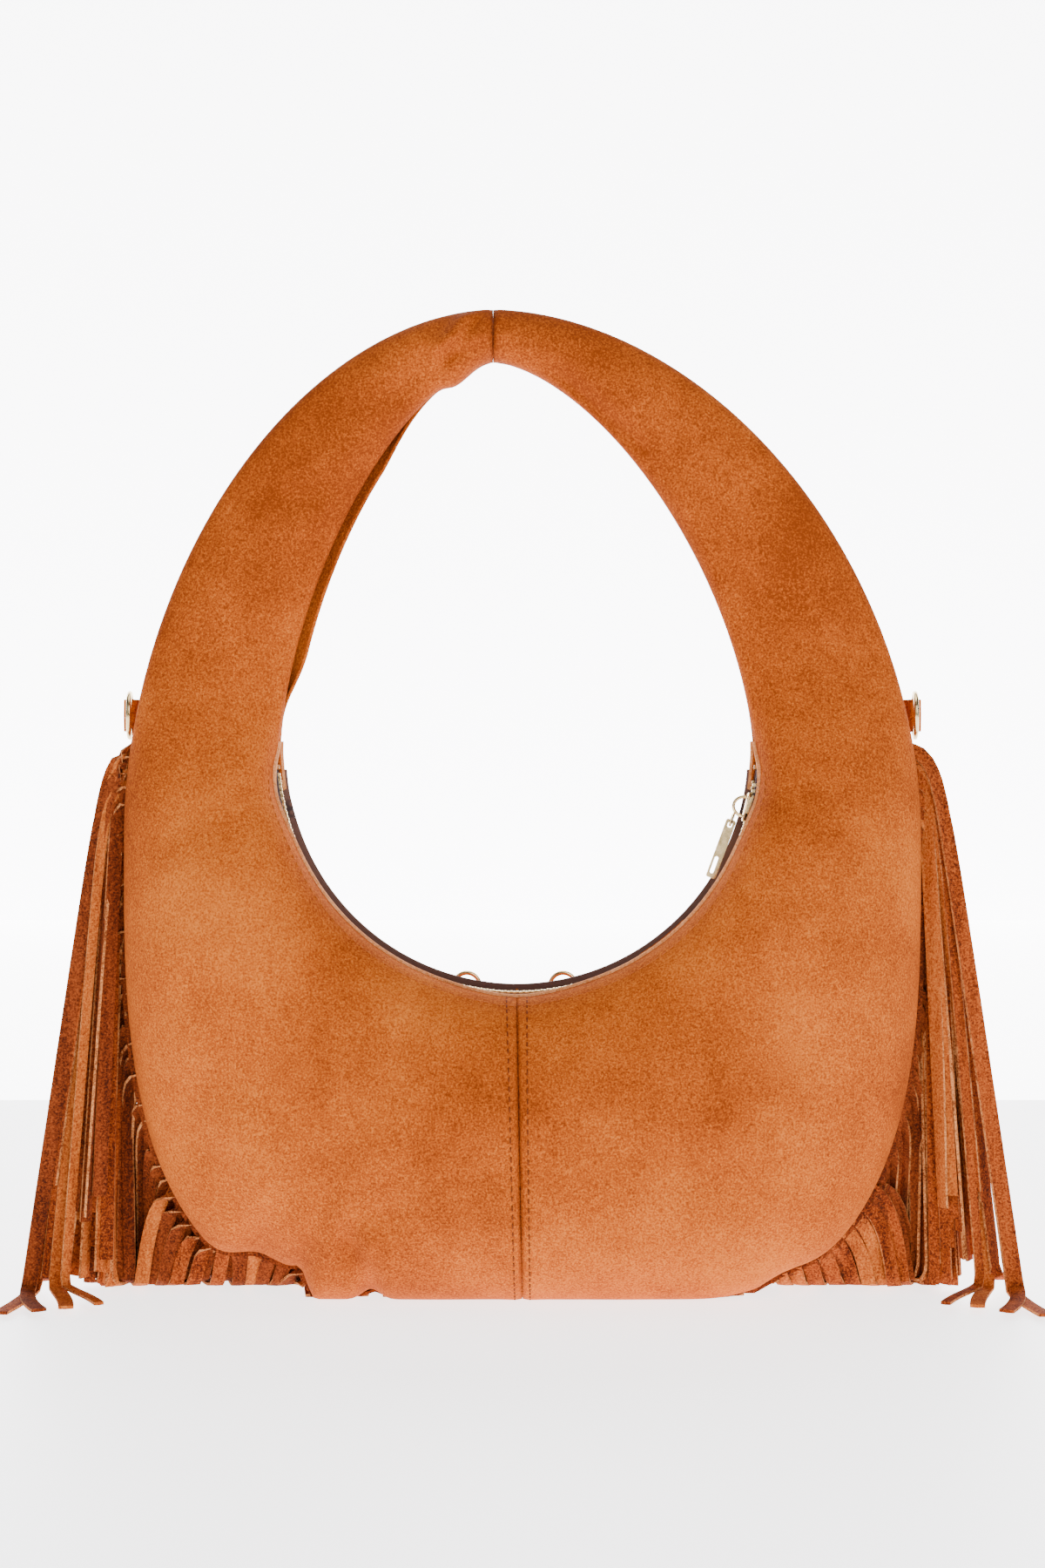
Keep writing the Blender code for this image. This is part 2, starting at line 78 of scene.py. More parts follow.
class Side(Enum):
    """The two halves of the bag, valued by the sign of their X."""

    LEFT = -1.0
    RIGHT = 1.0


# ------------------------------------------------------------------ colour and node helpers
def linear(hex_colour: str) -> tuple[float, float, float, float]:
    """Turn an sRGB hex colour into linear light.

    Args:
        hex_colour: six hex digits, such as "C86E32".

    Returns:
        Linear red, green, blue and an alpha of one.
    """
    parts = [int(hex_colour[i:i + 2], 16) / 255.0 for i in (0, 2, 4)]
    lit = [c / 12.92 if c <= 0.04045 else ((c + 0.055) / 1.055) ** 2.4 for c in parts]
    return (*lit, 1.0)


def per_mm(size: float) -> float:
    """Texture scale that gives features of this many millimetres."""
    return 1.0 / (size * MM)


def add_node(tree: bpy.types.NodeTree, kind: str, settings: dict | None = None,
             links: dict | None = None) -> bpy.types.Node:
    """Add one shader node with its settings and incoming links.

    Args:
        tree: the material's node tree.
        kind: the node's type name.
        settings: attributes, or input values where the key names an input.
        links: input name or number to the output socket that feeds it.

    Returns:
        The new node.
    """
    made = tree.nodes.new(kind)
    for key, value in (settings or {}).items():
        if isinstance(key, int) or key in made.inputs:
            made.inputs[key].default_value = value
        else:
            setattr(made, key, value)
    for key, socket in (links or {}).items():
        tree.links.new(socket, made.inputs[key])
    return made


def blank_material(name: str, settings: dict) -> tuple[bpy.types.Material, bpy.types.Node]:
    """Make a material whose Principled shader has these constant settings.

    Args:
        name: the material's name.
        settings: shader input name to constant value.

    Returns:
        The material and its Principled shader.
    """
    made = bpy.data.materials.new(name)
    made.use_nodes = True
    shader = made.node_tree.nodes["Principled BSDF"]
    for key, value in settings.items():
        shader.inputs[key].default_value = value
    return made, shader


def ramp(tree: bpy.types.NodeTree, source: bpy.types.NodeSocket,
         stops: Sequence[tuple[float, tuple]]) -> bpy.types.NodeSocket:
    """Add a colour ramp through the given stops.

    Args:
        tree: the material's node tree.
        source: the socket that runs along the ramp.
        stops: place and linear colour of each stop, in order.

    Returns:
        The ramp's colour socket.
    """
    made = add_node(tree, "ShaderNodeValToRGB", links={"Fac": source})
    band = made.color_ramp.elements
    band[0].position, band[0].color = stops[0]
    band[1].position, band[1].color = stops[-1]
    for place, colour in stops[1:-1]:
        extra = band.new(place)
        extra.color = colour
    return made.outputs["Color"]


# ------------------------------------------------------------------ finishes
@dataclass(frozen=True)
class NappedSuede:
    """Split leather brushed to a nap: dull, mottled where the nap lies over, with a soft edge glow."""

    name: str = "napped_suede_brushed"
    light: str = "CC7024"
    middle: str = "A94F11"
    dark: str = "762F05"
    cloud_mm: float = 75.0      # broad strokes where the nap was smoothed by hand
    blotch_mm: float = 11.0
    spread: float = 0.13        # how far apart the light and dark lie in the mixed noise
    grain_mm: float = 0.95      # real nap is about 0.3 mm; drawn coarser so that it shows
    roughness: float = 0.92
    stretch: float = 1.0        # how much longer the strokes run down than across
    arm_shade: float = 0.0      # how much darker the colour gets towards the top of the arms
    arm_from: float = 0.20      # heights between which the arms darken
    arm_to: float = 0.36
    cloud_share: float = 0.32   # shares of the three noises in the mixed one
    blotch_share: float = 0.09
    grain_share: float = 0.59

    def build(self) -> bpy.types.Material:
        """Make the material.

        Returns:
            The finished material.
        """
        made, shader = blank_material(self.name, {"Roughness": self.roughness,
                                                  "Sheen Weight": 0.03, "Sheen Roughness": 0.5,
                                                  "Specular IOR Level": 0.12})
        shader.inputs["Sheen Tint"].default_value = linear("E8A56A")
        tree = made.node_tree
        place = add_node(tree, "ShaderNodeTexCoord").outputs["Object"]
        drawn = add_node(tree, "ShaderNodeMapping", {"Scale": (1.0, 1.0, 1.0 / self.stretch)},
                         {"Vector": place}).outputs["Vector"]
        cloud = add_node(tree, "ShaderNodeTexNoise",
                         {"Scale": per_mm(self.cloud_mm), "Detail": 3.0, "Roughness": 0.55},
                         {"Vector": drawn})
        blotch = add_node(tree, "ShaderNodeTexNoise",
                          {"Scale": per_mm(self.blotch_mm), "Detail": 4.0, "Roughness": 0.6},
                          {"Vector": place})
        grain = add_node(tree, "ShaderNodeTexNoise",
                         {"Scale": per_mm(self.grain_mm), "Detail": 2.0, "Roughness": 0.7},
                         {"Vector": place})
        wide = add_node(tree, "ShaderNodeMath", {"operation": "MULTIPLY", 1: self.cloud_share},
                        {0: cloud.outputs["Fac"]})
        mid = add_node(tree, "ShaderNodeMath", {"operation": "MULTIPLY_ADD", 1: self.blotch_share},
                       {0: blotch.outputs["Fac"], 2: wide.outputs[0]})
        fine = add_node(tree, "ShaderNodeMath", {"operation": "MULTIPLY_ADD", 1: self.grain_share},
                        {0: grain.outputs["Fac"], 2: mid.outputs[0]})
        height = add_node(tree, "ShaderNodeSeparateXYZ", {}, {"Vector": place}).outputs["Z"]
        arm = add_node(tree, "ShaderNodeMapRange",
                       {"From Min": self.arm_from, "From Max": self.arm_to,
                        "To Min": 0.0, "To Max": -self.arm_shade}, {"Value": height})
        mixed = add_node(tree, "ShaderNodeMath", {"operation": "ADD"},
                         {0: fine.outputs[0], 1: arm.outputs[0]})
        colour = ramp(tree, mixed.outputs[0], [
            (0.5 - self.spread, linear(self.dark)), (0.5, linear(self.middle)),
            (0.5 + self.spread, linear(self.light))])
        tree.links.new(colour, shader.inputs["Base Color"])
        rough = add_node(tree, "ShaderNodeBump", {"Strength": 0.35, "Distance": 0.25 * MM},
                         {"Height": grain.outputs["Fac"]})
        soft = add_node(tree, "ShaderNodeBump", {"Strength": 0.25, "Distance": 0.8 * MM},
                        {"Height": blotch.outputs["Fac"], "Normal": rough.outputs["Normal"]})
        tree.links.new(soft.outputs["Normal"], shader.inputs["Normal"])
        return made


@dataclass(frozen=True)
class GoldPlate:
    """Zinc casting plated pale champagne gold: bright, warm, faintly uneven from handling."""

    name: str = "champagne_gold_plated_zinc"
    colour: str = "E3C896"
    shade: str = "CDAE78"
    roughness: float = 0.2
    polished: float = 0.14      # the smears' range of roughness
    handled: float = 0.34
    smear_mm: float = 3.0

    def build(self) -> bpy.types.Material:
        """Make the material.

        Returns:
            The finished material.
        """
        made, shader = blank_material(self.name, {"Metallic": 1.0, "Roughness": self.roughness})
        tree = made.node_tree
        place = add_node(tree, "ShaderNodeTexCoord").outputs["Object"]
        smear = add_node(tree, "ShaderNodeTexNoise",
                         {"Scale": per_mm(self.smear_mm), "Detail": 3.0}, {"Vector": place})
        colour = ramp(tree, smear.outputs["Fac"],
                      [(0.3, linear(self.shade)), (0.6, linear(self.colour))])
        tree.links.new(colour, shader.inputs["Base Color"])
        dull = add_node(tree, "ShaderNodeMapRange", {"To Min": self.polished, "To Max": self.handled},
                        {"Value": smear.outputs["Fac"]})
        tree.links.new(dull.outputs["Result"], shader.inputs["Roughness"])
        return made


@dataclass(frozen=True)
class WovenTape:
    """Polyester tape or lining woven in plain weave: fine crossing ribs and a slight shine."""

    name: str = "maroon_polyester_woven"
    colour: str = "4A1F18"
    shade: str = "2E120E"
    thread_mm: float = 0.6      # real thread; its ribs are drawn six times as wide so that they show
    wave_turns: float = 20.0    # radians that a wave texture turns through in one unit

    def build(self) -> bpy.types.Material:
        """Make the material.

        Returns:
            The finished material.
        """
        made, shader = blank_material(self.name, {"Roughness": 0.7, "Sheen Weight": 0.1})
        tree = made.node_tree
        place = add_node(tree, "ShaderNodeTexCoord").outputs["Object"]
        waves = [add_node(tree, "ShaderNodeTexWave",
                          {"Scale": per_mm(self.thread_mm) / self.wave_turns, "bands_direction": way,
                           "Distortion": 0.6}, {"Vector": place}) for way in ("X", "Y", "Z")]
        crossed = add_node(tree, "ShaderNodeMath", {"operation": "MULTIPLY"},
                           {0: waves[0].outputs["Fac"], 1: waves[2].outputs["Fac"]})
        ribs = add_node(tree, "ShaderNodeMath", {"operation": "ADD"},
                        {0: crossed.outputs[0], 1: waves[1].outputs["Fac"]})
        colour = ramp(tree, ribs.outputs[0],
                      [(0.2, linear(self.shade)), (1.0, linear(self.colour))])
        tree.links.new(colour, shader.inputs["Base Color"])
        bump = add_node(tree, "ShaderNodeBump", {"Strength": 0.4, "Distance": 0.2 * MM},
                        {"Height": ribs.outputs[0]})
        tree.links.new(bump.outputs["Normal"], shader.inputs["Normal"])
        return made


@dataclass(frozen=True)
class SpunThread:
    """Waxed polyester thread, spun in two plies: a dull line darker than the suede."""

    name: str = "waxed_polyester_thread"
    colour: str = "7A3A18"
    shade: str = "5A2810"
    ply_mm: float = 0.7

    def build(self) -> bpy.types.Material:
        """Make the material.

        Returns:
            The finished material.
        """
        made, shader = blank_material(self.name, {"Roughness": 0.85, "Specular IOR Level": 0.1})
        tree = made.node_tree
        place = add_node(tree, "ShaderNodeTexCoord").outputs["Object"]
        ply = add_node(tree, "ShaderNodeTexNoise", {"Scale": per_mm(self.ply_mm)}, {"Vector": place})
        colour = ramp(tree, ply.outputs["Fac"],
                      [(0.3, linear(self.shade)), (0.7, linear(self.colour))])
        tree.links.new(colour, shader.inputs["Base Color"])
        return made


@dataclass(frozen=True)
class StudioPaper:
    """Seamless paper: matt and near white, so that only the bag has colour."""

    name: str = "studio_paper_matt"
    colour: str = "F3F1F6"
    glow: float = 2.7           # light that comes through the paper from behind

    def build(self) -> bpy.types.Material:
        """Make the material.

        Returns:
            The finished material.
        """
        made, _ = blank_material(self.name, {"Base Color": linear(self.colour), "Roughness": 0.5,
                                             "Emission Color": linear("FFFFFF"),
                                             "Emission Strength": self.glow})
        return made


def cut_strips(name: str, light: str, middle: str, dark: str,
               spread: float = 0.10) -> bpy.types.Material:
    """Suede cut into strips, its nap drawn out along them.

    Args:
        name: the material's name.
        light: colour where the nap stands up.
        middle: colour between the two.
        dark: colour where the nap lies over.
        spread: how far apart the light and dark lie.

    Returns:
        The material.
    """
    return NappedSuede(name=name, light=light, middle=middle, dark=dark, cloud_mm=8.0,
                       blotch_mm=4.0, stretch=16.0, spread=spread).build()


@dataclass
class Wardrobe:
    """Every finish, made once."""

    suede: bpy.types.Material = field(default_factory=lambda: NappedSuede(arm_shade=0.08).build())
    strips: bpy.types.Material = field(default_factory=lambda: cut_strips(
        "cut_suede_strips", "AC5420", "863810", "461606"))
    # Darker strips: drawn at random as the suede's own tone, and always given to the strips that hang
    # further back as painted shade.
    strips_deep_and_shaded: bpy.types.Material = field(default_factory=lambda: cut_strips(
        "cut_suede_strips_deep", "8E421A", "6C2C0E", "3A1206"))
    strips_pale: bpy.types.Material = field(default_factory=lambda: cut_strips(
        "cut_suede_strips_pale", "C87434", "AC561E", "742E0C", 0.12))
    # Paler finish on the two cut edges of each strip.
    strips_pale_edge: bpy.types.Material = field(default_factory=lambda: NappedSuede(
        name="cut_suede_raw_rim", light="D08A54", middle="B06A38", dark="6A3014",
        cloud_mm=12.0, blotch_mm=3.0, spread=0.10).build())
    edge: bpy.types.Material = field(default_factory=lambda: NappedSuede(
        name="folded_suede_edge", light="E0A070", middle="CC8652", dark="B56C3A",
        cloud_mm=30.0, blotch_mm=5.0).build())
    tape: bpy.types.Material = field(default_factory=lambda: WovenTape().build())
    binding: bpy.types.Material = field(default_factory=lambda: WovenTape(
        name="woven_binding_brown", colour="5E3A2E").build())
    felt: bpy.types.Material = field(default_factory=lambda: WovenTape(
        name="polyester_felt_needled", colour="E8E2D4", thread_mm=1.5).build())
    gold: bpy.types.Material = field(default_factory=lambda: GoldPlate().build())
    thread: bpy.types.Material = field(default_factory=lambda: SpunThread().build())
    matched_thread: bpy.types.Material = field(default_factory=lambda: SpunThread(
        name="waxed_thread_matched", colour="B4622B", shade="9A4A1B").build())
    paper: bpy.types.Material = field(default_factory=lambda: StudioPaper().build())
    lit_paper: bpy.types.Material = field(default_factory=lambda: StudioPaper(
        name="studio_paper_backlit", glow=6.5).build())


# ------------------------------------------------------------------ mesh helpers
def new_object(name: str, mesh: bpy.types.Mesh, finish: bpy.types.Material) -> bpy.types.Object:
    """Link a mesh into the scene as a named piece with one finish.

    Args:
        name: the piece's name.
        mesh: its mesh.
        finish: the material that covers it.

    Returns:
        The new object.
    """
    made = bpy.data.objects.new(name, mesh)
    mesh.materials.append(finish)
    bpy.context.scene.collection.objects.link(made)
    return made


def mesh_of(name: str, points: Sequence[Vector], faces: Sequence[Sequence[int]],
            smooth_deg: float = 40.0) -> bpy.types.Mesh:
    """Mesh from points and faces, with outward normals and smooth shading.

    Args:
        name: the mesh's name.
        points: vertex places.
        faces: vertex numbers of each face.
        smooth_deg: edges sharper than this stay sharp.

    Returns:
        The finished mesh.
    """
    mesh = bpy.data.meshes.new(name)
    mesh.from_pydata([tuple(p) for p in points], [], [tuple(f) for f in faces])
    bm = bmesh.new()
    bm.from_mesh(mesh)
    bmesh.ops.recalc_face_normals(bm, faces=bm.faces)
    bm.to_mesh(mesh)
    bm.free()
    mesh.shade_smooth()
    mesh.set_sharp_from_angle(angle=math.radians(smooth_deg))
    return mesh


def solidify(piece: bpy.types.Object, thickness: float, offset: float) -> None:
    """Give an open surface its thickness.

    Args:
        piece: the surface.
        thickness: how thick it becomes.
        offset: -1 grows it to the inside, 0 to both sides.
    """
    solid = piece.modifiers.new("thickness", "SOLIDIFY")
    solid.thickness = thickness
    solid.offset = offset


def steps(start: float, end: float, count: int) -> list[float]:
    """Evenly spaced values with both ends."""
    return [start + (end - start) * i / count for i in range(count + 1)]


def smoothstep(low: float, high: float, value: float) -> float:
    """Smooth rise from 0 at low to 1 at high."""
    t = min(max((value - low) / (high - low), 0.0), 1.0)
    return t * t * (3.0 - 2.0 * t)


def bell(distance: float, width: float) -> float:
    """A smooth hump of height one."""
    return math.exp(-(distance / width) ** 2)


@dataclass
class Solids:
    """Collects many small closed shapes into one mesh."""

    points: list[Vector] = field(default_factory=list)
    faces: list[tuple[int, ...]] = field(default_factory=list)

    def loft(self, rings: Sequence[Sequence[Vector]], cyclic: bool = False) -> None:
        """Skin a row of closed rings, capped at both ends unless the row is cyclic.

        Args:
            rings: rings of points, all with the same count.
            cyclic: join the last ring to the first.
        """
        start, count = len(self.points), len(rings[0])
        for ring in rings:
            self.points.extend(ring)
        rows = len(rings)
        for r in range(rows if cyclic else rows - 1):
            a, b = start + r * count, start + ((r + 1) % rows) * count
            for i in range(count):
                j = (i + 1) % count
                self.faces.append((a + i, a + j, b + j, b + i))
        if not cyclic:
            self.faces.append(tuple(start + i for i in range(count))[::-1])
            self.faces.append(tuple(start + (rows - 1) * count + i for i in range(count)))

    def tube(self, path: Sequence[Vector], radius: float, sides: int = 10,
             cyclic: bool = False) -> None:
        """A round wire along a path.

        Args:
            path: centre line.
            radius: the wire's radius.
            sides: sides of its section.
            cyclic: join the end to the start.
        """
        rings = []
        total = len(path)
        side = None
        for i, point in enumerate(path):
            before = path[i - 1] if i or cyclic else path[0]
            after = path[(i + 1) % total] if i < total - 1 or cyclic else path[-1]
            along = (after - before).normalized()
            if side is None:
                side = along.orthogonal().normalized()
            side = (side - along * side.dot(along)).normalized()
            other = along.cross(side)
            rings.append([point + (side * math.cos(t) + other * math.sin(t)) * radius
                          for t in steps(0.0, math.tau, sides)[:-1]])
        self.loft(rings, cyclic)

    def ribbon(self, path: Sequence[Vector], across: Sequence[Vector], width: float,
               thick: float) -> None:
        """A flat strip along a path with a slightly crowned section.

        Args:
            path: centre line.
            across: direction of the strip's width at each point.
            width: the strip's width.
            thick: its thickness.
        """
        rings = []
        for i, point in enumerate(path):
            along = (path[min(i + 1, len(path) - 1)] - path[max(i - 1, 0)]).normalized()
            wide = (across[i] - along * across[i].dot(along)).normalized()
            up = along.cross(wide)
            half, deep = width / 2.0, thick / 2.0
            rings.append([point - wide * half - up * deep, point - wide * half + up * deep,
                          point + up * deep * 1.25, point + wide * half + up * deep,
                          point + wide * half - up * deep, point - up * deep * 1.25])
        self.loft(rings)

    def block(self, matrix: Matrix, size: Sequence[float], soft: float = 0.0) -> None:
        """A box with its upper edges drawn in by the soft share.

        Args:
            matrix: place and turn of the box.
            size: its three sizes.
            soft: share by which the top is smaller than the bottom.
        """
        x, y, z = (s / 2.0 for s in size)
        rings = []
        for level, shrink in ((-z, 1.0), (z * 0.5, 1.0), (z, 1.0 - soft)):
            rings.append([matrix @ Vector((sx * x * shrink, sy * y * shrink, level))
                          for sx, sy in ((-1, -1), (1, -1), (1, 1), (-1, 1))])
        self.loft(rings)

    def build(self, name: str, finish: bpy.types.Material,
              smooth_deg: float = 40.0) -> bpy.types.Object:
        """Make the collected shapes one piece."""
        return new_object(name, mesh_of(name, self.points, self.faces, smooth_deg), finish)


# ------------------------------------------------------------------ the crescent
@dataclass
class Crease:
    """A fold pressed into the suede: a groove along a line, with a soft swell at one side."""

    start: tuple[float, float]
    end: tuple[float, float]
    depth: float
    width: float
    swell: float = 0.4
    faces: tuple[Face, ...] = (Face.BACK,)

    def push(self, x: float, z: float) -> float:
        """How far the crease moves the surface at a point of the XZ plane.

        Args:
            x: place across the bag.
            z: height.

        Returns:
            The distance, below zero where the surface sinks.
        """
        ax, az = self.start
        dx, dz = self.end[0] - ax, self.end[1] - az
        length = math.hypot(dx, dz)
        along = ((x - ax) * dx + (z - az) * dz) / length
        off = ((x - ax) * dz - (z - az) * dx) / length
        fade = smoothstep(-0.15, 0.25, along / length) * smoothstep(1.15, 0.75, along / length)
        groove = -bell(off, self.width)
        swell = self.swell * bell(off - 2.2 * self.width, 1.6 * self.width)
        return self.depth * fade * (groove + swell)


@dataclass
class Crescent:
    """Outline and section of the bag, the same as the solids it covers.  All in metres."""

    half_width: float = 190 * MM
    mid_z: float = 224.6 * MM
    top_rise: float = 247.2 * MM
    sink: float = 238 * MM
    top_power: float = 1.87
    bottom_power: float = 3.3
    crown_x: float = -14 * MM
    mouth_radius: float = 113 * MM
    inner_rise: float = 187 * MM
    inner_power: float = 1.6
    body_depth: float = 47.4 * MM
    strap_depth: float = 13 * MM
    lip_gap: float = 11 * MM
    seam_gap: float = 0.25 * MM
    crest: float = 0.45
    zip_x: float = 0.0
    zip_z: float = 0.0
    creases: tuple[Crease, ...] = (
        Crease((0.012, 0.444), (0.056, 0.404), 2.6 * MM, 5 * MM, 0.6),
        Crease((0.020, 0.436), (0.052, 0.404), 1.8 * MM, 2 * MM, 1.5),
        Crease((0.082, 0.396), (0.106, 0.325), 2.0 * MM, 6 * MM, 1.1),
        Crease((-0.018, 0.470), (-0.040, 0.440), 2.1 * MM, 2.4 * MM, 1.7),
        Crease((-0.020, 0.452), (-0.044, 0.446), 1.4 * MM, 3 * MM, 1.2),
        Crease((-0.036, 0.452), (-0.066, 0.424), 1.8 * MM, 6 * MM, 0.6),
        Crease((-0.062, 0.405), (-0.100, 0.345), 2.0 * MM, 9 * MM, 0.7),
        Crease((-0.088, 0.390), (-0.112, 0.376), 1.6 * MM, 8 * MM, 0.4),
        Crease((-0.135, 0.300), (-0.150, 0.215), 1.4 * MM, 14 * MM, 0.4),
        Crease((-0.120, 0.020), (-0.150, 0.085), 2.4 * MM, 9 * MM, 0.6),
        Crease((-0.071, 0.000), (-0.084, 0.040), 4.0 * MM, 5 * MM, 0.7),
        Crease((-0.100, 0.012), (-0.060, 0.052), 1.6 * MM, 8 * MM, 0.6),
        Crease((-0.165, 0.060), (-0.150, 0.110), 1.6 * MM, 10 * MM, 0.5),
        Crease((0.150, 0.240), (0.168, 0.150), 1.3 * MM, 13 * MM, 0.4),
        Crease((0.105, 0.012), (0.128, 0.045), 1.6 * MM, 9 * MM, 0.5),
        Crease((0.030, 0.006), (0.075, 0.018), 1.2 * MM, 7 * MM, 0.5),
        Crease((0.085, 0.135), (0.120, 0.105), 1.0 * MM, 14 * MM, 0.3),
    )

    def __post_init__(self) -> None:
        """Take the zip's centre from its joint."""
        place = joint_place("zip_travel")
        self.zip_x, self.zip_z = place.x, place.z

    def _reach(self, angle: float, half_x: float, half_z: float, power: float) -> float:
        """Distance from the centre to a rounded outline."""
        across, along = abs(math.cos(angle)) / half_x, abs(math.sin(angle)) / half_z
        return (across ** power + along ** power) ** (-1.0 / power)

    def outer(self, angle: float) -> tuple[float, float]:
        """Point of the outer seam in one direction from the middle.

        Args:
            angle: direction from the middle, anticlockwise from +X.

        Returns:
            X and Z of the point.
        """
        c, s = math.cos(angle), math.sin(angle)
        if s >= 0.0:
            half_x = self.half_width - self.crown_x * (1.0 if c > 0.0 else -1.0)
            r = self._reach(angle, half_x, self.top_rise, self.top_power)
            return self.crown_x + r * c, self.mid_z + r * s
        r = self._reach(angle, self.half_width, self.sink, self.bottom_power)
        x, z = r * c, self.mid_z + r * s
        lift = 16 * MM * smoothstep(-0.0985, -0.107, x) * smoothstep(-0.155, -0.122, x)
        lift += 7 * MM * bell(x - 0.122, 0.02) + 5 * MM * bell(x + 0.072, 0.006)
        return x, max(z, 0.0) + lift * smoothstep(0.045, 0.005, z)

    def inner(self, angle: float) -> tuple[float, float]:
        """Point of the mouth or of the strap's inner seam.

        Args:
            angle: direction from the middle, anticlockwise from +X.

        Returns:
            X and Z of the point.
        """
        c, s = math.cos(angle), math.sin(angle)
        if s >= 0.0:
            half_x = self.mouth_radius + (self.zip_x - self.crown_x) * (1.0 if c > 0.0 else -1.0)
            r = self._reach(angle, half_x, self.inner_rise, self.inner_power)
            x, z = self.crown_x + r * c, self.zip_z + r * s
            fold = 4.2 * MM * bell(x + 0.031, 0.009) - 1.5 * MM * bell(x + 0.050, 0.010)
            return x, z - fold * smoothstep(0.43, 0.44, z)
        return self.zip_x + self.mouth_radius * c, self.zip_z + self.mouth_radius * s

    def lip(self, angle: float) -> float:
        """Half the width of the mouth."""
        part = smoothstep(-0.1, 0.35, -math.sin(angle))
        return self.seam_gap + (self.lip_gap - self.seam_gap) * part

    def slider_room(self, angle: float) -> float:
        """Half the width that the slider and its pull need between the lips."""
        return 2.4 * MM + 3.6 * MM * smoothstep(0.02, -0.06, math.sin(angle))

    def slack(self, angle: float, face: Face) -> float:
        """How far the back lip falls away from the zip, near its two ends and in the middle.

        Args:
            angle: direction from the middle.
            face: only the back lip falls away.

        Returns:
            The distance, outwards from the zip's arc.
        """
        if face is Face.FRONT:
            return 0.0
        sagged = 2.2 * MM * bell(math.cos(angle), 0.2) if math.sin(angle) < 0.0 else 0.0
        return 3.4 * MM * bell(math.sin(angle) + 0.14, 0.15) + sagged

    def depth(self, angle: float) -> float:
        """Half the bag's greatest thickness at this angle."""
        full = smoothstep(-0.55, 0.6, -math.sin(angle))
        return self.strap_depth + (self.body_depth - self.strap_depth) * full

    def point(self, angle: float, across: float, face: Face, floor: float = 0.0) -> Vector:
        """A point of one face: across runs 0 at the mouth, 1 at the crest, 2 at the seam.

        Args:
            angle: direction from the middle, anticlockwise from +X.
            across: place between the mouth and the outer seam.
            face: back or front.
            floor: the lowest height that the surface may take.

        Returns:
            The point with sag and creases in it.
        """
        lip, depth = self.lip(angle), self.depth(angle)
        if across <= 1.0:
            turn = across * math.pi / 2.0
            part, y = self.crest * (1.0 - math.cos(turn)), lip + (depth - lip) * math.sin(turn)
        else:
            turn = (across - 1.0) * math.pi / 2.0
            part = self.crest + (1.0 - self.crest) * math.sin(turn)
            y = self.seam_gap + (depth - self.seam_gap) * math.cos(turn) ** 0.92
        (x0, z0), (x1, z1) = self.inner(angle), self.outer(angle)
        x0 += self.slack(angle, face) * math.cos(angle)
        z0 += self.slack(angle, face) * math.sin(angle)
        x, z = x0 + (x1 - x0) * part, z0 + (z1 - z0) * part
        room = min(1.0, y / (9 * MM)) ** 2
        sag = noise.noise(Vector((x * 14.0, face.value * 3.0, z * 14.0))) * 2.2 * MM
        sag += noise.noise(Vector((x * 38.0, face.value * 7.0, z * 38.0))) * 0.8 * MM
        crease = sum(c.push(x, z) for c in self.creases if face in c.faces)
        y = max(y + (sag - 1.0 * MM + crease) * room, self.seam_gap)
        return Vector((x, face.value * y, max(z, floor)))


def joint_place(name: str) -> Vector:
    """Where a joint's axis passes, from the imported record.

    Args:
        name: the joint's name.

    Returns:
        The place of its axis.
    """
    for joint in frame["record"]["behaviour"]["joints"]:
        if joint["name"] == name:
            return Vector(joint["pos_m"])
    raise KeyError(name)


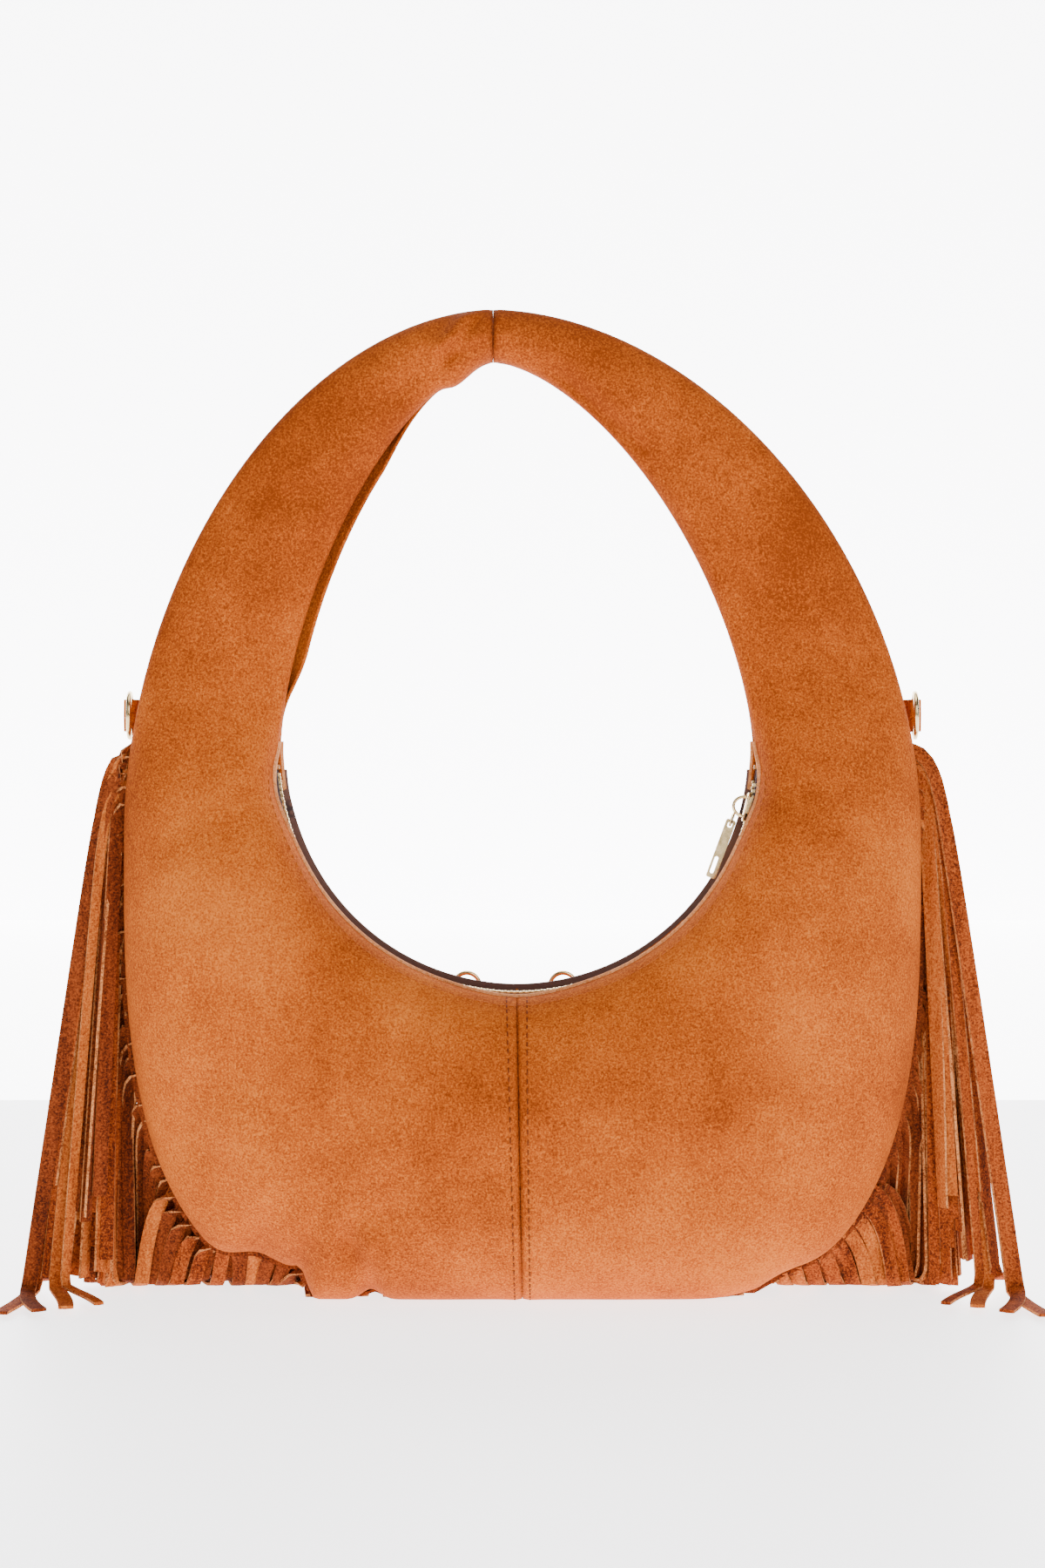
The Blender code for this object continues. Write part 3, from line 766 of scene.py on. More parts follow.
# ------------------------------------------------------------------ suede body
@dataclass
class SuedeBody:
    """The four panels with their seams, folded lips and stitching."""

    shape: Crescent
    dress: Wardrobe
    along: int = 250
    across: int = 56
    suede: float = 1.5 * MM
    middle_gap: float = 0.00035      # angle left at the middle seams
    stitch: float = 3.1 * MM
    stitch_pitch: float = 4.0 * MM
    stitch_from_seam: float = 3.4 * MM
    seam_fade: float = 4 * MM        # the dip fades where the two faces are closer than this
    proud_seam: float = 6.5 * MM     # how far the front's inner strap seam stands into the opening

    def seam_dip(self, angle: float, z: float) -> float:
        """How far the suede turns in at the middle seam, with a pucker at each stitch.

        Args:
            angle: direction from the middle.
            z: height of the point.

        Returns:
            The distance, below zero where the suede turns in.
        """
        crown, base = math.pi / 2.0, -math.pi / 2.0
        wrapped = (angle + math.pi) % math.tau - math.pi
        reach = math.hypot(0.12, z - self.shape.mid_z)
        off = min(abs(wrapped - crown), abs(wrapped - base)) * reach
        pucker = 0.25 * MM * math.sin(z * math.tau / (2.0 * self.stitch_pitch))
        return -1.9 * MM * bell(off, 1.6 * MM) + (0.7 * MM + pucker) * bell(off - 5 * MM, 4 * MM)

    def panel_rows(self, face: Face, start: float, end: float, floor: float,
                   proud: float = 0.0) -> list[list[Vector]]:
        """Grid of surface points for one panel.

        Args:
            face: back or front.
            start: first angle.
            end: last angle.
            floor: lowest height allowed.
            proud: how far the inner strap seam stands into the strap's opening.

        Returns:
            Rows of points from the mouth to the outer seam.
        """
        rows = []
        for i in range(self.along + 1):
            t = i / self.along
            eased = t - 0.035 * math.sin(math.tau * t)
            angle = start + (end - start) * eased
            row = []
            for k in range(self.across + 1):
                place = 2.0 * k / self.across
                p = self.shape.point(angle, place, face, floor)
                fade = min(1.0, abs(p.y) / self.seam_fade) if place > 1.0 else 1.0
                p.y += face.value * self.seam_dip(angle, p.z) * fade
                if proud and place < 1.0 and math.sin(angle) > 0.0:
                    window = smoothstep(0.15, 0.5, math.sin(angle))
                    window *= smoothstep(0.995, 0.93, math.sin(angle)) * (1.0 - place) ** 2
                    inwards = Vector((self.shape.crown_x - p.x, 0.0, self.shape.mid_z - p.z))
                    p += inwards.normalized() * proud * window
                row.append(p)
            rows.append(row)
        return rows

    def build_panels(self) -> None:
        """The suede panels, which stand for the plain solids."""
        top, bottom = math.pi / 2.0, -math.pi / 2.0
        gap = self.middle_gap
        spans = {Side.RIGHT: (bottom + gap, top - gap),
                 Side.LEFT: (top + gap, bottom + math.tau - gap)}
        for face in Face:
            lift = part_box(f"{face.name.lower()}_panel_left")[0][2]
            for side, (start, end) in spans.items():
                name = f"{face.name.lower()}_panel_{side.name.lower()}"
                proud = self.proud_seam if (face, side) == (Face.FRONT, Side.LEFT) else 0.0
                rows = self.panel_rows(face, start, end, lift, proud)
                count = self.across + 1
                points = [p for row in rows for p in row]
                corners = [r * count + k for r in range(self.along) for k in range(self.across)]
                faces = [(a, a + 1, a + count + 1, a + count) for a in corners]
                mesh = bpy.data.meshes.new(name)
                mesh.from_pydata([tuple(p) for p in points], [], faces)
                mesh.shade_smooth()
                total = sum((f.normal.y * f.area for f in mesh.polygons), 0.0)
                if total * face.value < 0.0:
                    mesh.flip_normals()
                piece = new_object(f"suede_{name}", mesh, self.dress.suede)
                solidify(piece, self.suede, -1.0)
                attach(piece, "bag")
                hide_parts(name)
                log.info("panel %s", name)

    def build_lips(self) -> None:
        """The folded suede edge that frames the mouth, with its paler turned rim."""
        for face in Face:
            solids = Solids()
            path, across = [], []
            for angle in steps(math.radians(-183), math.radians(3), 120):
                half = max(self.shape.lip(angle) - 0.2 * MM, self.shape.slider_room(angle))
                r = self.shape.mouth_radius + 0.4 * MM + self.shape.slack(angle, face)
                path.append(Vector((self.shape.zip_x + r * math.cos(angle), face.value * half,
                                    self.shape.zip_z + r * math.sin(angle))))
                across.append(Vector((math.cos(angle), 0.0, math.sin(angle))))
            solids.ribbon(path, across, 3.2 * MM, 1.5 * MM)
            piece = solids.build(f"lip_edge_{face.name.lower()}", self.dress.edge)
            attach(piece, "bag")

    def stitch_row(self, solids: Solids, path: Sequence[Vector], outwards: Sequence[Vector]) -> None:
        """Lay stitches end to end along a path.

        Args:
            solids: collects the stitches.
            path: points on the suede, closer together than the stitches.
            outwards: the suede's outward direction at each point.
        """
        travelled, due = 0.0, 0.0
        for i in range(1, len(path)):
            step = path[i] - path[i - 1]
            travelled += step.length
            if travelled < due:
                continue
            due = travelled + self.stitch_pitch
            along = step.normalized()
            rings = []
            for place, fat in ((-0.5, 0.25), (-0.3, 1.0), (0.3, 1.0), (0.5, 0.25)):
                sunk = outwards[i] * (0.18 * MM if fat > 0.5 else -0.25 * MM)
                centre = path[i] + along * (place * self.stitch) + sunk
                side = along.cross(outwards[i]).normalized()
                rings.append([centre + (side * math.cos(t) + outwards[i] * math.sin(t))
                              * 0.36 * MM * fat for t in steps(0, math.tau, 6)[:-1]])
            solids.loft(rings)

    def surface(self, angle: float, place: float, face: Face) -> Vector:
        """Point on the finished panel, with its seam dip.

        Args:
            angle: direction from the middle.
            place: 0 at the mouth, 1 at the crest, 2 at the seam.
            face: back or front.

        Returns:
            The point.
        """
        p = self.shape.point(angle, place, face)
        p.y += face.value * self.seam_dip(angle, p.z) * min(1.0, abs(p.y) / self.seam_fade)
        return p

    def build_stitching(self) -> None:
        """Sew the rows beside the middle seam and the row below each lip."""
        for face in Face:
            solids = Solids()
            middle = -math.pi / 2.0
            for side in Side:
                path, out = [], []
                for place in steps(0.06, 1.93, 200):
                    drop = self.shape.mid_z - self.shape.point(middle, place, face).z
                    turn = side.value * self.stitch_from_seam / (drop + 0.001)
                    path.append(self.surface(middle + turn, place, face))
                    out.append(Vector((0.0, face.value, 0.0)))
                self.stitch_row(solids, path, out)
            path, out = [], []
            for angle in steps(math.radians(-176), math.radians(-4), 700):
                path.append(self.surface(angle, 0.2, face))
                low, high = self.surface(angle, 0.16, face), self.surface(angle, 0.24, face)
                radial = (high - low).normalized()
                tangent = Vector((-math.sin(angle), 0.0, math.cos(angle)))
                normal = radial.cross(tangent)
                out.append(normal if normal.y * face.value > 0.0 else -normal)
            hidden = Solids()
            self.stitch_row(hidden, path, out)
            for name, row, thread in (("stitching", solids, self.dress.thread),
                                      ("lip_stitching", hidden, self.dress.matched_thread)):
                piece = row.build(f"{name}_{face.name.lower()}", thread)
                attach(piece, "bag")

    def build(self) -> None:
        """Make everything sewn from suede apart from the fringe."""
        self.build_panels()
        self.build_lips()
        self.build_stitching()


# ------------------------------------------------------------------ zip
@dataclass
class CurvedZip:
    """The zip round the mouth, with its teeth, slider, link and pull."""

    shape: Crescent
    dress: Wardrobe
    tooth_pitch: float = 2.9 * MM
    tooth: tuple[float, float, float] = (1.5 * MM, 4.0 * MM, 1.7 * MM)
    start: float = math.radians(-175)
    end: float = math.radians(-5)
    plate_half: float = 4.7 * MM

    def frame_at(self, angle: float, radius: float, y: float = 0.0) -> Matrix:
        """Matrix with X along the zip, Y across it and Z towards the arc's centre.

        Args:
            angle: direction from the zip's centre.
            radius: distance from the zip's centre.
            y: place across the zip.

        Returns:
            The matrix.
        """
        centre = Vector((self.shape.zip_x + radius * math.cos(angle), y,
                         self.shape.zip_z + radius * math.sin(angle)))
        inwards = Vector((-math.cos(angle), 0.0, -math.sin(angle)))
        across = Vector((0.0, 1.0, 0.0))
        along = across.cross(inwards)
        turned = Matrix((along, across, inwards)).transposed().to_4x4()
        return Matrix.Translation(centre) @ turned

    def slider_angle(self) -> float:
        """Where the slider stands at rest.

        Returns:
            Its direction from the zip's centre.
        """
        low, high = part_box("zip_slider")
        x, z = (low[0] + high[0]) / 2.0, (low[2] + high[2]) / 2.0
        return math.atan2(z - self.shape.zip_z, x - self.shape.zip_x)

    def build_teeth(self) -> None:
        """Two rows of cast teeth, meshed up to the slider's place at rest and parted beyond it."""
        slider = self.slider_angle()
        radius = self.shape.mouth_radius + 1.1 * MM
        for face, stagger in ((Face.BACK, 0.0), (Face.FRONT, 0.5)):
            solids = Solids()
            step = self.tooth_pitch / radius
            count = int((self.end - self.start) / step)
            for i in range(count):
                angle = self.start + (i + stagger) * step
                apart = 1.7 * MM * smoothstep(slider - 0.02, slider + 0.09, angle)
                y = face.value * (self.tooth[1] / 2.0 - 1.0 * MM + apart)
                solids.block(self.frame_at(angle, radius, y), self.tooth, 0.3)
            name = f"zip_teeth_{face.name.lower()}"
            piece = solids.build(f"cast_{name}", self.dress.gold)
            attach(piece, "bag")
            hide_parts(name)

    def build_tape(self) -> None:
        """Woven tapes with a cord edge, and the dark facing turned down under each lip."""
        for face in Face:
            rings, facing = Solids(), Solids()
            tape, cord, wall, wall_across = [], [], [], []
            for angle in steps(self.start - 0.02, self.end + 0.02, 140):
                lip = self.shape.lip(angle)
                mid = face.value * (lip + 2.2 * MM) / 2.0
                tape.append(self.frame_at(angle, self.shape.mouth_radius + 2.6 * MM, mid))
                cord.append(self.frame_at(angle, self.shape.mouth_radius + 2.1 * MM,
                                          face.value * 3.4 * MM).translation)
                rise = 1.9 * MM if face is Face.BACK else -0.1 * MM
                radius = self.shape.mouth_radius + rise + self.shape.slack(angle, face)
                half = max(lip - 1.3 * MM, self.shape.slider_room(angle))
                turned = self.frame_at(angle, radius, face.value * half)
                wall.append(turned.translation)
                wall_across.append(turned.to_3x3() @ Vector((0, 0, 1)))
            sections = []
            for i, matrix in enumerate(tape):
                half = max(abs(abs(matrix.translation.y) - 1.6 * MM), 0.6 * MM)
                sections.append([matrix @ Vector((0.0, sy * half, sz * 0.4 * MM))
                                 for sy, sz in ((-1, -1), (1, -1), (1, 1), (-1, 1))])
            rings.loft(sections)
            rings.tube(cord, 0.7 * MM, 8)
            name = f"zip_tape_{face.name.lower()}"
            piece = rings.build(f"woven_{name}", self.dress.tape)
            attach(piece, "bag")
            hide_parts(name)
            facing.ribbon(wall, wall_across, 4.4 * MM, 0.7 * MM)
            inner = facing.build(f"lip_facing_{face.name.lower()}", self.dress.binding)
            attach(inner, "bag")

    def build_slider(self) -> None:
        """Cast slider: waisted plates, side walls, post and an arched bail."""
        solids = Solids()
        angle = self.slider_angle()
        half = self.plate_half
        outline = [(-7.0, 0.30), (-6.4, 0.62), (-3.0, 0.74), (1.5, 0.98), (5.2, 1.0),
                   (6.8, 0.72), (7.1, 0.30)]
        loop = [(x * MM, w * half) for x, w in outline]
        loop += [(x * MM, -w * half) for x, w in reversed(outline)]
        for radius, thick in ((self.shape.mouth_radius - 0.6 * MM, 1.3 * MM),
                              (self.shape.mouth_radius + 4.5 * MM, 1.0 * MM)):
            matrix = self.frame_at(angle, radius)
            rings = [[matrix @ Vector((x * s, y * s, level * thick / 2.0)) for x, y in loop]
                     for level, s in ((-1.0, 0.97), (-0.6, 1.0), (0.6, 1.0), (1.0, 0.94))]
            solids.loft(rings)
        for sign in (-1.0, 1.0):
            wall = self.frame_at(angle, self.shape.mouth_radius + 0.4 * MM)
            wall = wall @ Matrix.Translation((1.0 * MM, sign * (half - 0.45 * MM), 0.0))
            solids.block(wall, (8 * MM, 0.8 * MM, 2.0 * MM))
        post = self.frame_at(angle, self.shape.mouth_radius + 1.9 * MM)
        solids.block(post @ Matrix.Translation((3.0 * MM, 0, 0)), (3 * MM, 1.0 * MM, 5.0 * MM))
        base = self.frame_at(angle, self.shape.mouth_radius - 1.0 * MM)
        arch = [base @ Vector((4.8 * MM * math.cos(t), 0.0, 5.6 * MM * math.sin(t)))
                for t in steps(0.0, math.pi, 24)]
        solids.tube(arch, 0.8 * MM, 12)
        piece = solids.build("cast_zip_slider", self.dress.gold)
        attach(piece, "slider")
        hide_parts("zip_slider")

    def build(self) -> None:
        """Make the zip's tapes, teeth and slider."""
        self.build_tape()
        self.build_teeth()
        self.build_slider()
        log.info("zip with slider at %.1f degrees", math.degrees(self.slider_angle()))


# ------------------------------------------------------------------ rings, tabs and pull
def smooth_path(points: Sequence[Vector], per_span: int = 8) -> list[Vector]:
    """Catmull-Rom curve through points.

    Args:
        points: the points, at least three.
        per_span: points made between two neighbours.

    Returns:
        The finer path, with both ends.
    """
    ends = [points[0] * 2 - points[1], *points, points[-1] * 2 - points[-2]]
    path = []
    for a, b, c, d in zip(ends, ends[1:], ends[2:], ends[3:]):
        for t in steps(0.0, 1.0, per_span)[:-1]:
            path.append(0.5 * (2 * b + (c - a) * t + (2 * a - 5 * b + 4 * c - d) * t * t
                               + (3 * b - a - 3 * c + d) * t ** 3))
    return path + [points[-1]]


@dataclass
class Hardware:
    """D rings at the sides, small rings at the front, the suede tabs and the pull."""

    dress: Wardrobe
    d_wire: float = 2.6 * MM
    o_wire: float = 2.2 * MM
    tab: float = 1.3 * MM
    side_tab_width: float = 15.5 * MM
    front_tab_width: float = 8.0 * MM

    def side_ring(self, side: Side) -> None:
        """A D ring, its bar upright in the tab and its bow lying against the bag.

        Args:
            side: left or right.
        """
        name = f"side_ring_{side.name.lower()}"
        pivot = joint_place(f"{name}_swing")
        low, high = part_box(name)
        half = (high[2] - low[2]) / 2.0 - self.d_wire / 2.0
        bow_y = low[1] + self.d_wire / 2.0 - pivot.y
        lean = side.value * math.radians(5)
        shape = [Vector((0, 0, z)) for z in steps(-half + 2.4 * MM, half - 2.4 * MM, 6)]
        for t in steps(math.radians(84), math.radians(-84), 36):
            bow = -1.0 * MM + (bow_y + 1.0 * MM) * math.cos(t) ** 0.8
            shape.append(Vector((0, bow, half * math.sin(t))))
        spin = Matrix.Rotation(-lean, 3, "Z")
        path = [pivot + spin @ p for p in shape]
        solids = Solids()
        solids.tube(path, self.d_wire / 2.0 * 0.98, 16, cyclic=True)
        piece = solids.build(f"plated_{name}", self.dress.gold)
        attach(piece, f"{name}_body")
        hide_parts(name)

    def front_ring(self, side: Side) -> None:
        """A round ring standing in its tab.

        Args:
            side: left or right.
        """
        name = f"front_ring_{side.name.lower()}"
        centre = joint_place(f"{name}_turn")
        low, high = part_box(name)
        radius = (high[2] - low[2] - self.o_wire) / 2.0
        solids = Solids()
        solids.tube([centre + Vector((radius * math.cos(t), 0, radius * math.sin(t)))
                     for t in steps(0, math.tau, 48)[:-1]], self.o_wire / 2.0, 16, cyclic=True)
        piece = solids.build(f"plated_{name}", self.dress.gold)
        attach(piece, f"{name}_body")
        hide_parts(name)

    def sewn_tab(self, name: str, path: Sequence[Vector], across: Vector, width: float) -> None:
        """A suede strip folded round a ring and sewn back on itself.

        Args:
            name: the solid that the tab covers.
            path: its folded course.
            across: direction of its width.
            width: its width.
        """
        smooth = smooth_path(path, 6)
        solids = Solids()
        solids.ribbon(smooth, [across] * len(smooth), width, self.tab)
        piece = solids.build(f"folded_{name}", self.dress.suede)
        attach(piece, "bag")
        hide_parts(name)

    def tabs(self) -> None:
        """All four tabs, along the same paths as the solids they cover."""
        for side in Side:
            s = side.value
            bar = joint_place(f"side_ring_{side.name.lower()}_swing")
            loop = self.d_wire / 2.0 + 0.95 * MM
            outer = [(-26.2, 11.0), (-16.2, 9.4), (-7.2, 7.4), (-0.8, 4.8)]
            inner = [(-3.6, 2.2), (-7.2, 4.2), (-15.2, 6.3), (-25.7, 8.2)]
            path = [bar + Vector((s * x * MM, y * MM, 0)) for x, y in outer]
            path += [bar + Vector((s * loop * math.cos(t), -loop * math.sin(t), 0))
                     for t in steps(0.0, math.pi, 6)]
            path += [bar + Vector((s * x * MM, y * MM, 0)) for x, y in inner]
            self.sewn_tab(f"side_tab_{side.name.lower()}", path, Vector((0, 0, 1)),
                          self.side_tab_width)
            name = f"front_ring_{side.name.lower()}"
            ring = joint_place(f"{name}_turn")
            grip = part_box(name)[0][2] + self.o_wire / 2.0 - ring.z
            path = [ring + Vector((0, y * MM, grip + z * MM)) for y, z in
                    ((6.6, -22.2), (2.6, -11.6))]
            path += [ring + Vector((0, -3.6 * MM * math.cos(t), grip + 3.6 * MM * math.sin(t)))
                     for t in steps(-0.5, math.pi + 0.5, 7)]
            path += [ring + Vector((0, y * MM, grip + z * MM)) for y, z in
                     ((5.2, -11.6), (9.0, -22.6))]
            self.sewn_tab(f"front_tab_{side.name.lower()}", path, Vector((1, 0, 0)),
                          self.front_tab_width)

    def plate_carried_metal(self) -> None:
        """The pull, its link and the stops keep their own shapes and take the plating."""
        for name in ("zip_pull", "pull_link", "zip_stop_left", "zip_stop_right"):
            piece = bpy.data.objects[name]
            for slot in piece.material_slots:
                slot.material = self.dress.gold

    def build(self) -> None:
        """Make the rings and tabs."""
        for side in Side:
            self.side_ring(side)
            self.front_ring(side)
        self.tabs()
        self.plate_carried_metal()


# ------------------------------------------------------------------ fringe
@dataclass
class Strand:
    """One cut strip of suede, grown from the seam under its own weight."""

    root: Vector
    heading: Vector
    length: float
    width: float
    hang_y: float
    bend: float            # length over which it turns from the seam's direction to hanging
    splay: Vector          # added to straight down while it hangs
    floor_heading: Vector
    floor: float
    yaw: float
    curl: float = 0.0      # turns its course on the floor, in radians a metre
    twist: float = 1.2     # turns about its own length while it hangs, in radians a metre
    step: float = 5.0 * MM
    lie: float = 11 * MM       # height over which it turns to lie on the floor
    settle: float = 38 * MM    # drop over which it comes to its own place in Y
    sewn: float = 10 * MM      # length over which it stays flat to the seam

    def grow(self) -> tuple[list[Vector], list[Vector]]:
        """Follow the strip from seam to tip.

        Returns:
            Its centre line, and the direction of its width at each point.
        """
        place, path, across = self.root.copy(), [self.root.copy()], []
        ground = self.floor_heading.normalized()
        count = max(int(self.length / self.step), 4)
        for i in range(count):
            gone = (i + 0.5) * self.step
            turned = 1.0 - math.exp(-gone / self.bend)
            way = self.heading * (1.0 - turned) + (Vector((0, 0, -1)) + self.splay) * turned
            way.normalize()
            way.y += (self.hang_y - place.y) / self.settle
            way.normalize()
            height = max(0.0, min(1.0, (place.z - self.floor) / self.lie))
            if height < 1.0:
                ground = Matrix.Rotation(self.curl * self.step, 3, "Z") @ ground
                way = way * height + ground * (1.0 - height)
                way.z = -abs(way.z) * height
                way.normalize()
            turn = self.yaw + self.twist * gone
            wide = Vector((math.cos(turn), math.sin(turn), 0.0))
            start = Vector((0, 0, 1)) if abs(self.heading.x) > 0.5 else Vector((1, 0, 0))
            stiff = math.exp(-gone / self.sewn)
            wide = start * stiff + wide * (1.0 - stiff)
            flat = way.cross(Vector((0, 0, 1)))
            if height < 1.0 and flat.length > 0.05:
                flat.normalize()
                if flat.dot(wide) < 0.0:
                    flat = -flat
                wide = wide * height + flat * (1.0 - height)
            wide.normalize()
            room = max(place.z - 1.0 * MM, 0.0) / (0.5 * self.width)
            if abs(wide.z) > room:
                level = Vector((wide.x, wide.y, 0.0))
                level = level.normalized() if level.length > 0.05 else Vector((0.0, 1.0, 0.0))
                tilt = Vector((0, 0, math.copysign(room, wide.z)))
                wide = level * math.sqrt(1.0 - room * room) + tilt
            across.append(wide)
            place = place + way * self.step
            place.z = max(place.z, self.floor)
            path.append(place.copy())
        across.append(across[-1])
        return path, across


@dataclass
class Fringe:
    """The long cut fringe in the outer seam."""

    shape: Crescent
    dress: Wardrobe
    length: float = 200 * MM
    pitch: float = 7.6 * MM
    strip: float = 7.4 * MM
    thick: float = 1.35 * MM
    side_top: float = 0.262
    corner_z: float = 0.052
    tuck_mm: float = 1.5       # how far the strips reach into the seam
    seed: int = 11

    def seam_run(self, side: Side, z_from: float, z_to: float) -> list[tuple[Vector, Vector]]:
        """Evenly pitched roots on the outer seam, with the outward direction at each.

        Args:
            side: left or right.
            z_from: height where the run starts.
            z_to: height where it ends.

        Returns:
            Place and outward direction of each root, from the top down.
        """
        found, last = [], None
        for i in range(6001):
            part = i / 6000
            angle = math.radians(20) + part * math.radians(-110)
            if side is Side.LEFT:
                angle = math.pi - angle
            x, z = self.shape.outer(angle)
            z = max(z, 1.0 * MM)
            if z > z_from or z < z_to or x * side.value < 2 * MM:
                continue
            if last is None or math.hypot(x - last[0], z - last[1]) >= self.pitch:
                near = self.shape.outer(angle + 0.004)
                tangent = Vector((near[0] - x, 0.0, near[1] - z)).normalized()
                normal = Vector((tangent.z, 0.0, -tangent.x))
                middle = Vector((x, 0.0, z - self.shape.mid_z))
                if normal.dot(middle) < 0.0:
                    normal = -normal
                found.append((Vector((x, 0.9 * MM, z)), normal))
                last = (x, z)
        return found

    def side_strands(self, side: Side) -> list[Strand]:
        """Strips from the side seam, the upper ones outermost.

        Args:
            side: left or right.

        Returns:
            The strips.
        """
        dice = random.Random(self.seed + (5 if side is Side.LEFT else 9))
        roots = self.seam_run(side, self.side_top, self.corner_z)
        strands = []
        total = len(roots)
        for i, (root, normal) in enumerate(roots):
            low = i / (total - 1)
            for layer in range(3 if low < 0.25 else 2 if low < 0.6 else 1):
                out = side.value
                slope = 0.145 * (1.0 - low) ** 1.4 + dice.uniform(-0.035, 0.01) - 0.035 * layer
                strands.append(Strand(
                    root=root - normal * self.tuck_mm * MM + Vector((0, layer * 1.5 * MM, 0)),
                    heading=(normal + Vector((0, 0.1 + 0.3 * layer, -0.6))).normalized(),
                    length=self.length + (8.0 * layer if low < 0.25 else 0.0) * MM
                    + dice.uniform(-8, 8) * MM,
                    width=self.strip * dice.uniform(0.72, 1.04),
                    hang_y=(28.0 * low - 2.0 * layer + dice.uniform(-6.0, 4.0)) * MM,
                    bend=(9.0 - 1.0 * low + dice.uniform(-3, 3)) * MM,
                    splay=Vector((out * slope, 0, 0)),
                    floor_heading=Vector((out * dice.uniform(-0.5, 0.12), 1.0, 0)),
                    floor=(0.9 + dice.uniform(0.0, 3.0)) * MM,
                    yaw=dice.uniform(-1.0, 1.0), curl=dice.uniform(-4.0, 4.0),
                    twist=dice.uniform(-6.0, 6.0)))
        return strands + self.long_strands(side, roots, dice)

    def long_strands(self, side: Side, roots: list, dice: random.Random) -> list[Strand]:
        """The few longer strips that reach the floor and curl towards the back.

        Args:
            side: left or right.
            roots: the side seam's roots.
            dice: the side's own random draws.

        Returns:
            The strips.
        """
        out = side.value
        strands = []
        plans = ((0, 306, 0.14, (0.05, -1.0), 3.0), (1, 292, 0.10, (-0.6, -1.0), 9.0),
                 (1, 298, 0.15, (-0.1, -0.9), -8.0), (2, 284, 0.08, (-0.9, -0.7), 12.0),
                 (3, 262, 0.12, (0.3, 0.6), 4.0))
        for index, length, slope, ground, curl in plans:
            root, normal = roots[index]
            strands.append(Strand(
                root=root - normal * self.tuck_mm * MM,
                heading=(normal + Vector((0, 0.1, -0.3))).normalized(),
                length=length * MM, width=self.strip * (0.62 if index == 2 else 0.95),
                hang_y=dice.uniform(-9.0, 0.0) * MM, bend=10 * MM,
                splay=Vector((out * slope, 0, 0)),
                floor_heading=Vector((out * ground[0], ground[1], 0)),
                floor=1.0 * MM + index * 1.4 * MM,
                yaw=dice.uniform(-0.5, 0.5), curl=out * curl))
        return strands

    def base_strands(self, side: Side) -> list[Strand]:
        """Strips from the bottom seam: they drop, then lie out over the floor.

        Args:
            side: left or right.

        Returns:
            The strips.
        """
        dice = random.Random(self.seed + (21 if side is Side.LEFT else 33))
        roots = self.seam_run(side, self.corner_z, 0.0)
        strands = []
        for i, (root, normal) in enumerate(roots):
            raised = smoothstep(2 * MM, 16 * MM, root.z)
            for layer in range(3 if raised > 0.3 else 1):
                fan = side.value * (0.04 + 0.2 * raised) * abs(root.x) / 0.15
                strands.append(Strand(
                    root=Vector((root.x + layer * 0.4 * self.pitch, (0.9 + layer * 1.5) * MM,
                                 max(root.z - 1.0 * MM, 1.0 * MM))),
                    heading=(normal * raised + Vector((0, 1.0 - 0.6 * raised, 0))).normalized(),
                    length=self.length - dice.uniform(0, 10) * MM - layer * 14 * MM,
                    width=self.strip * dice.uniform(0.88, 1.03),
                    hang_y=(4.0 + 6.0 * layer + dice.uniform(0, 5)) * MM,
                    bend=(8.0 + 6.0 * raised) * MM, splay=Vector((side.value * 0.1 * raised, 0, 0)),
                    floor_heading=Vector((fan + dice.uniform(-0.10, 0.10), 1.0, 0)),
                    floor=(0.9 + (i % 2) * 0.15 + layer * 1.6) * MM,
                    yaw=dice.uniform(-0.4, 0.4), curl=dice.uniform(-0.8, 0.8) * (1 + raised)))
        return strands

    def header(self, solids: Solids, roots: Sequence[tuple[Vector, Vector]]) -> float:
        """The uncut band that the strips hang from.

        Args:
            solids: collects the band.
            roots: place and outward direction of each root.

        Returns:
            The band's area.
        """
        path = [root + normal * 0.6 * MM for root, normal in roots]
        path = [Vector((p.x, p.y, max(p.z, 1.2 * MM))) for p in path]
        across = [normal if p.z > 4 * MM else Vector((0, 1, 0))
                  for p, (_, normal) in zip(path, roots)]
        solids.ribbon(path, across, 4.4 * MM, self.thick)
        return len(roots) * self.pitch * 5.0 * MM

    def sew(self, name: str, strands: Iterable[Strand],
            roots: Sequence[tuple[Vector, Vector]]) -> None:
        """Make one fringe piece from its strips and log its flat size.

        Args:
            name: the solid that the piece covers.
            strands: its strips.
            roots: place and outward direction of each root.
        """
        solids, count = Solids(), 0
        area = self.header(solids, roots)
        slots = [1] * len(solids.faces)
        dice = random.Random(self.seed + len(name))
        for strand in strands:
            path, across = strand.grow()
            solids.ribbon(path, across, strand.width, self.thick)
            area += (strand.width + self.thick) * strand.length
            count += 1
            # Strips that hang further back always take the darker finish, a painted shade; the others
            # draw the darker, middle or paler finish at random as the suede's own tone.
            shade = 1 if strand.hang_y > 9 * MM else dice.choice((0, 0, 1, 2, 2))
            new = len(solids.faces) - len(slots)
            # Faces 0 and 3 of every six are the strip's two cut edges, which take the paler edge
            # finish.
            slots += [3 if k % 6 in (0, 3) else shade for k in range(new)]
        piece = solids.build(f"cut_{name}", self.dress.strips, 50.0)
        for finish in (self.dress.strips_deep_and_shaded, self.dress.strips_pale, self.dress.strips_pale_edge):
            piece.data.materials.append(finish)
        for polygon, slot in zip(piece.data.polygons, slots):
            polygon.material_index = slot
        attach(piece, "bag")
        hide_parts(name)
        log.info("%s: %d strips, %.4f m2", name, count, area)

    def build(self) -> None:
        """Make the four fringe pieces."""
        for side in Side:
            name = side.name.lower()
            self.sew(f"side_fringe_{name}", self.side_strands(side),
                     self.seam_run(side, self.side_top, self.corner_z))
            self.sew(f"base_fringe_{name}", self.base_strands(side),
                     self.seam_run(side, self.corner_z, 0.0))


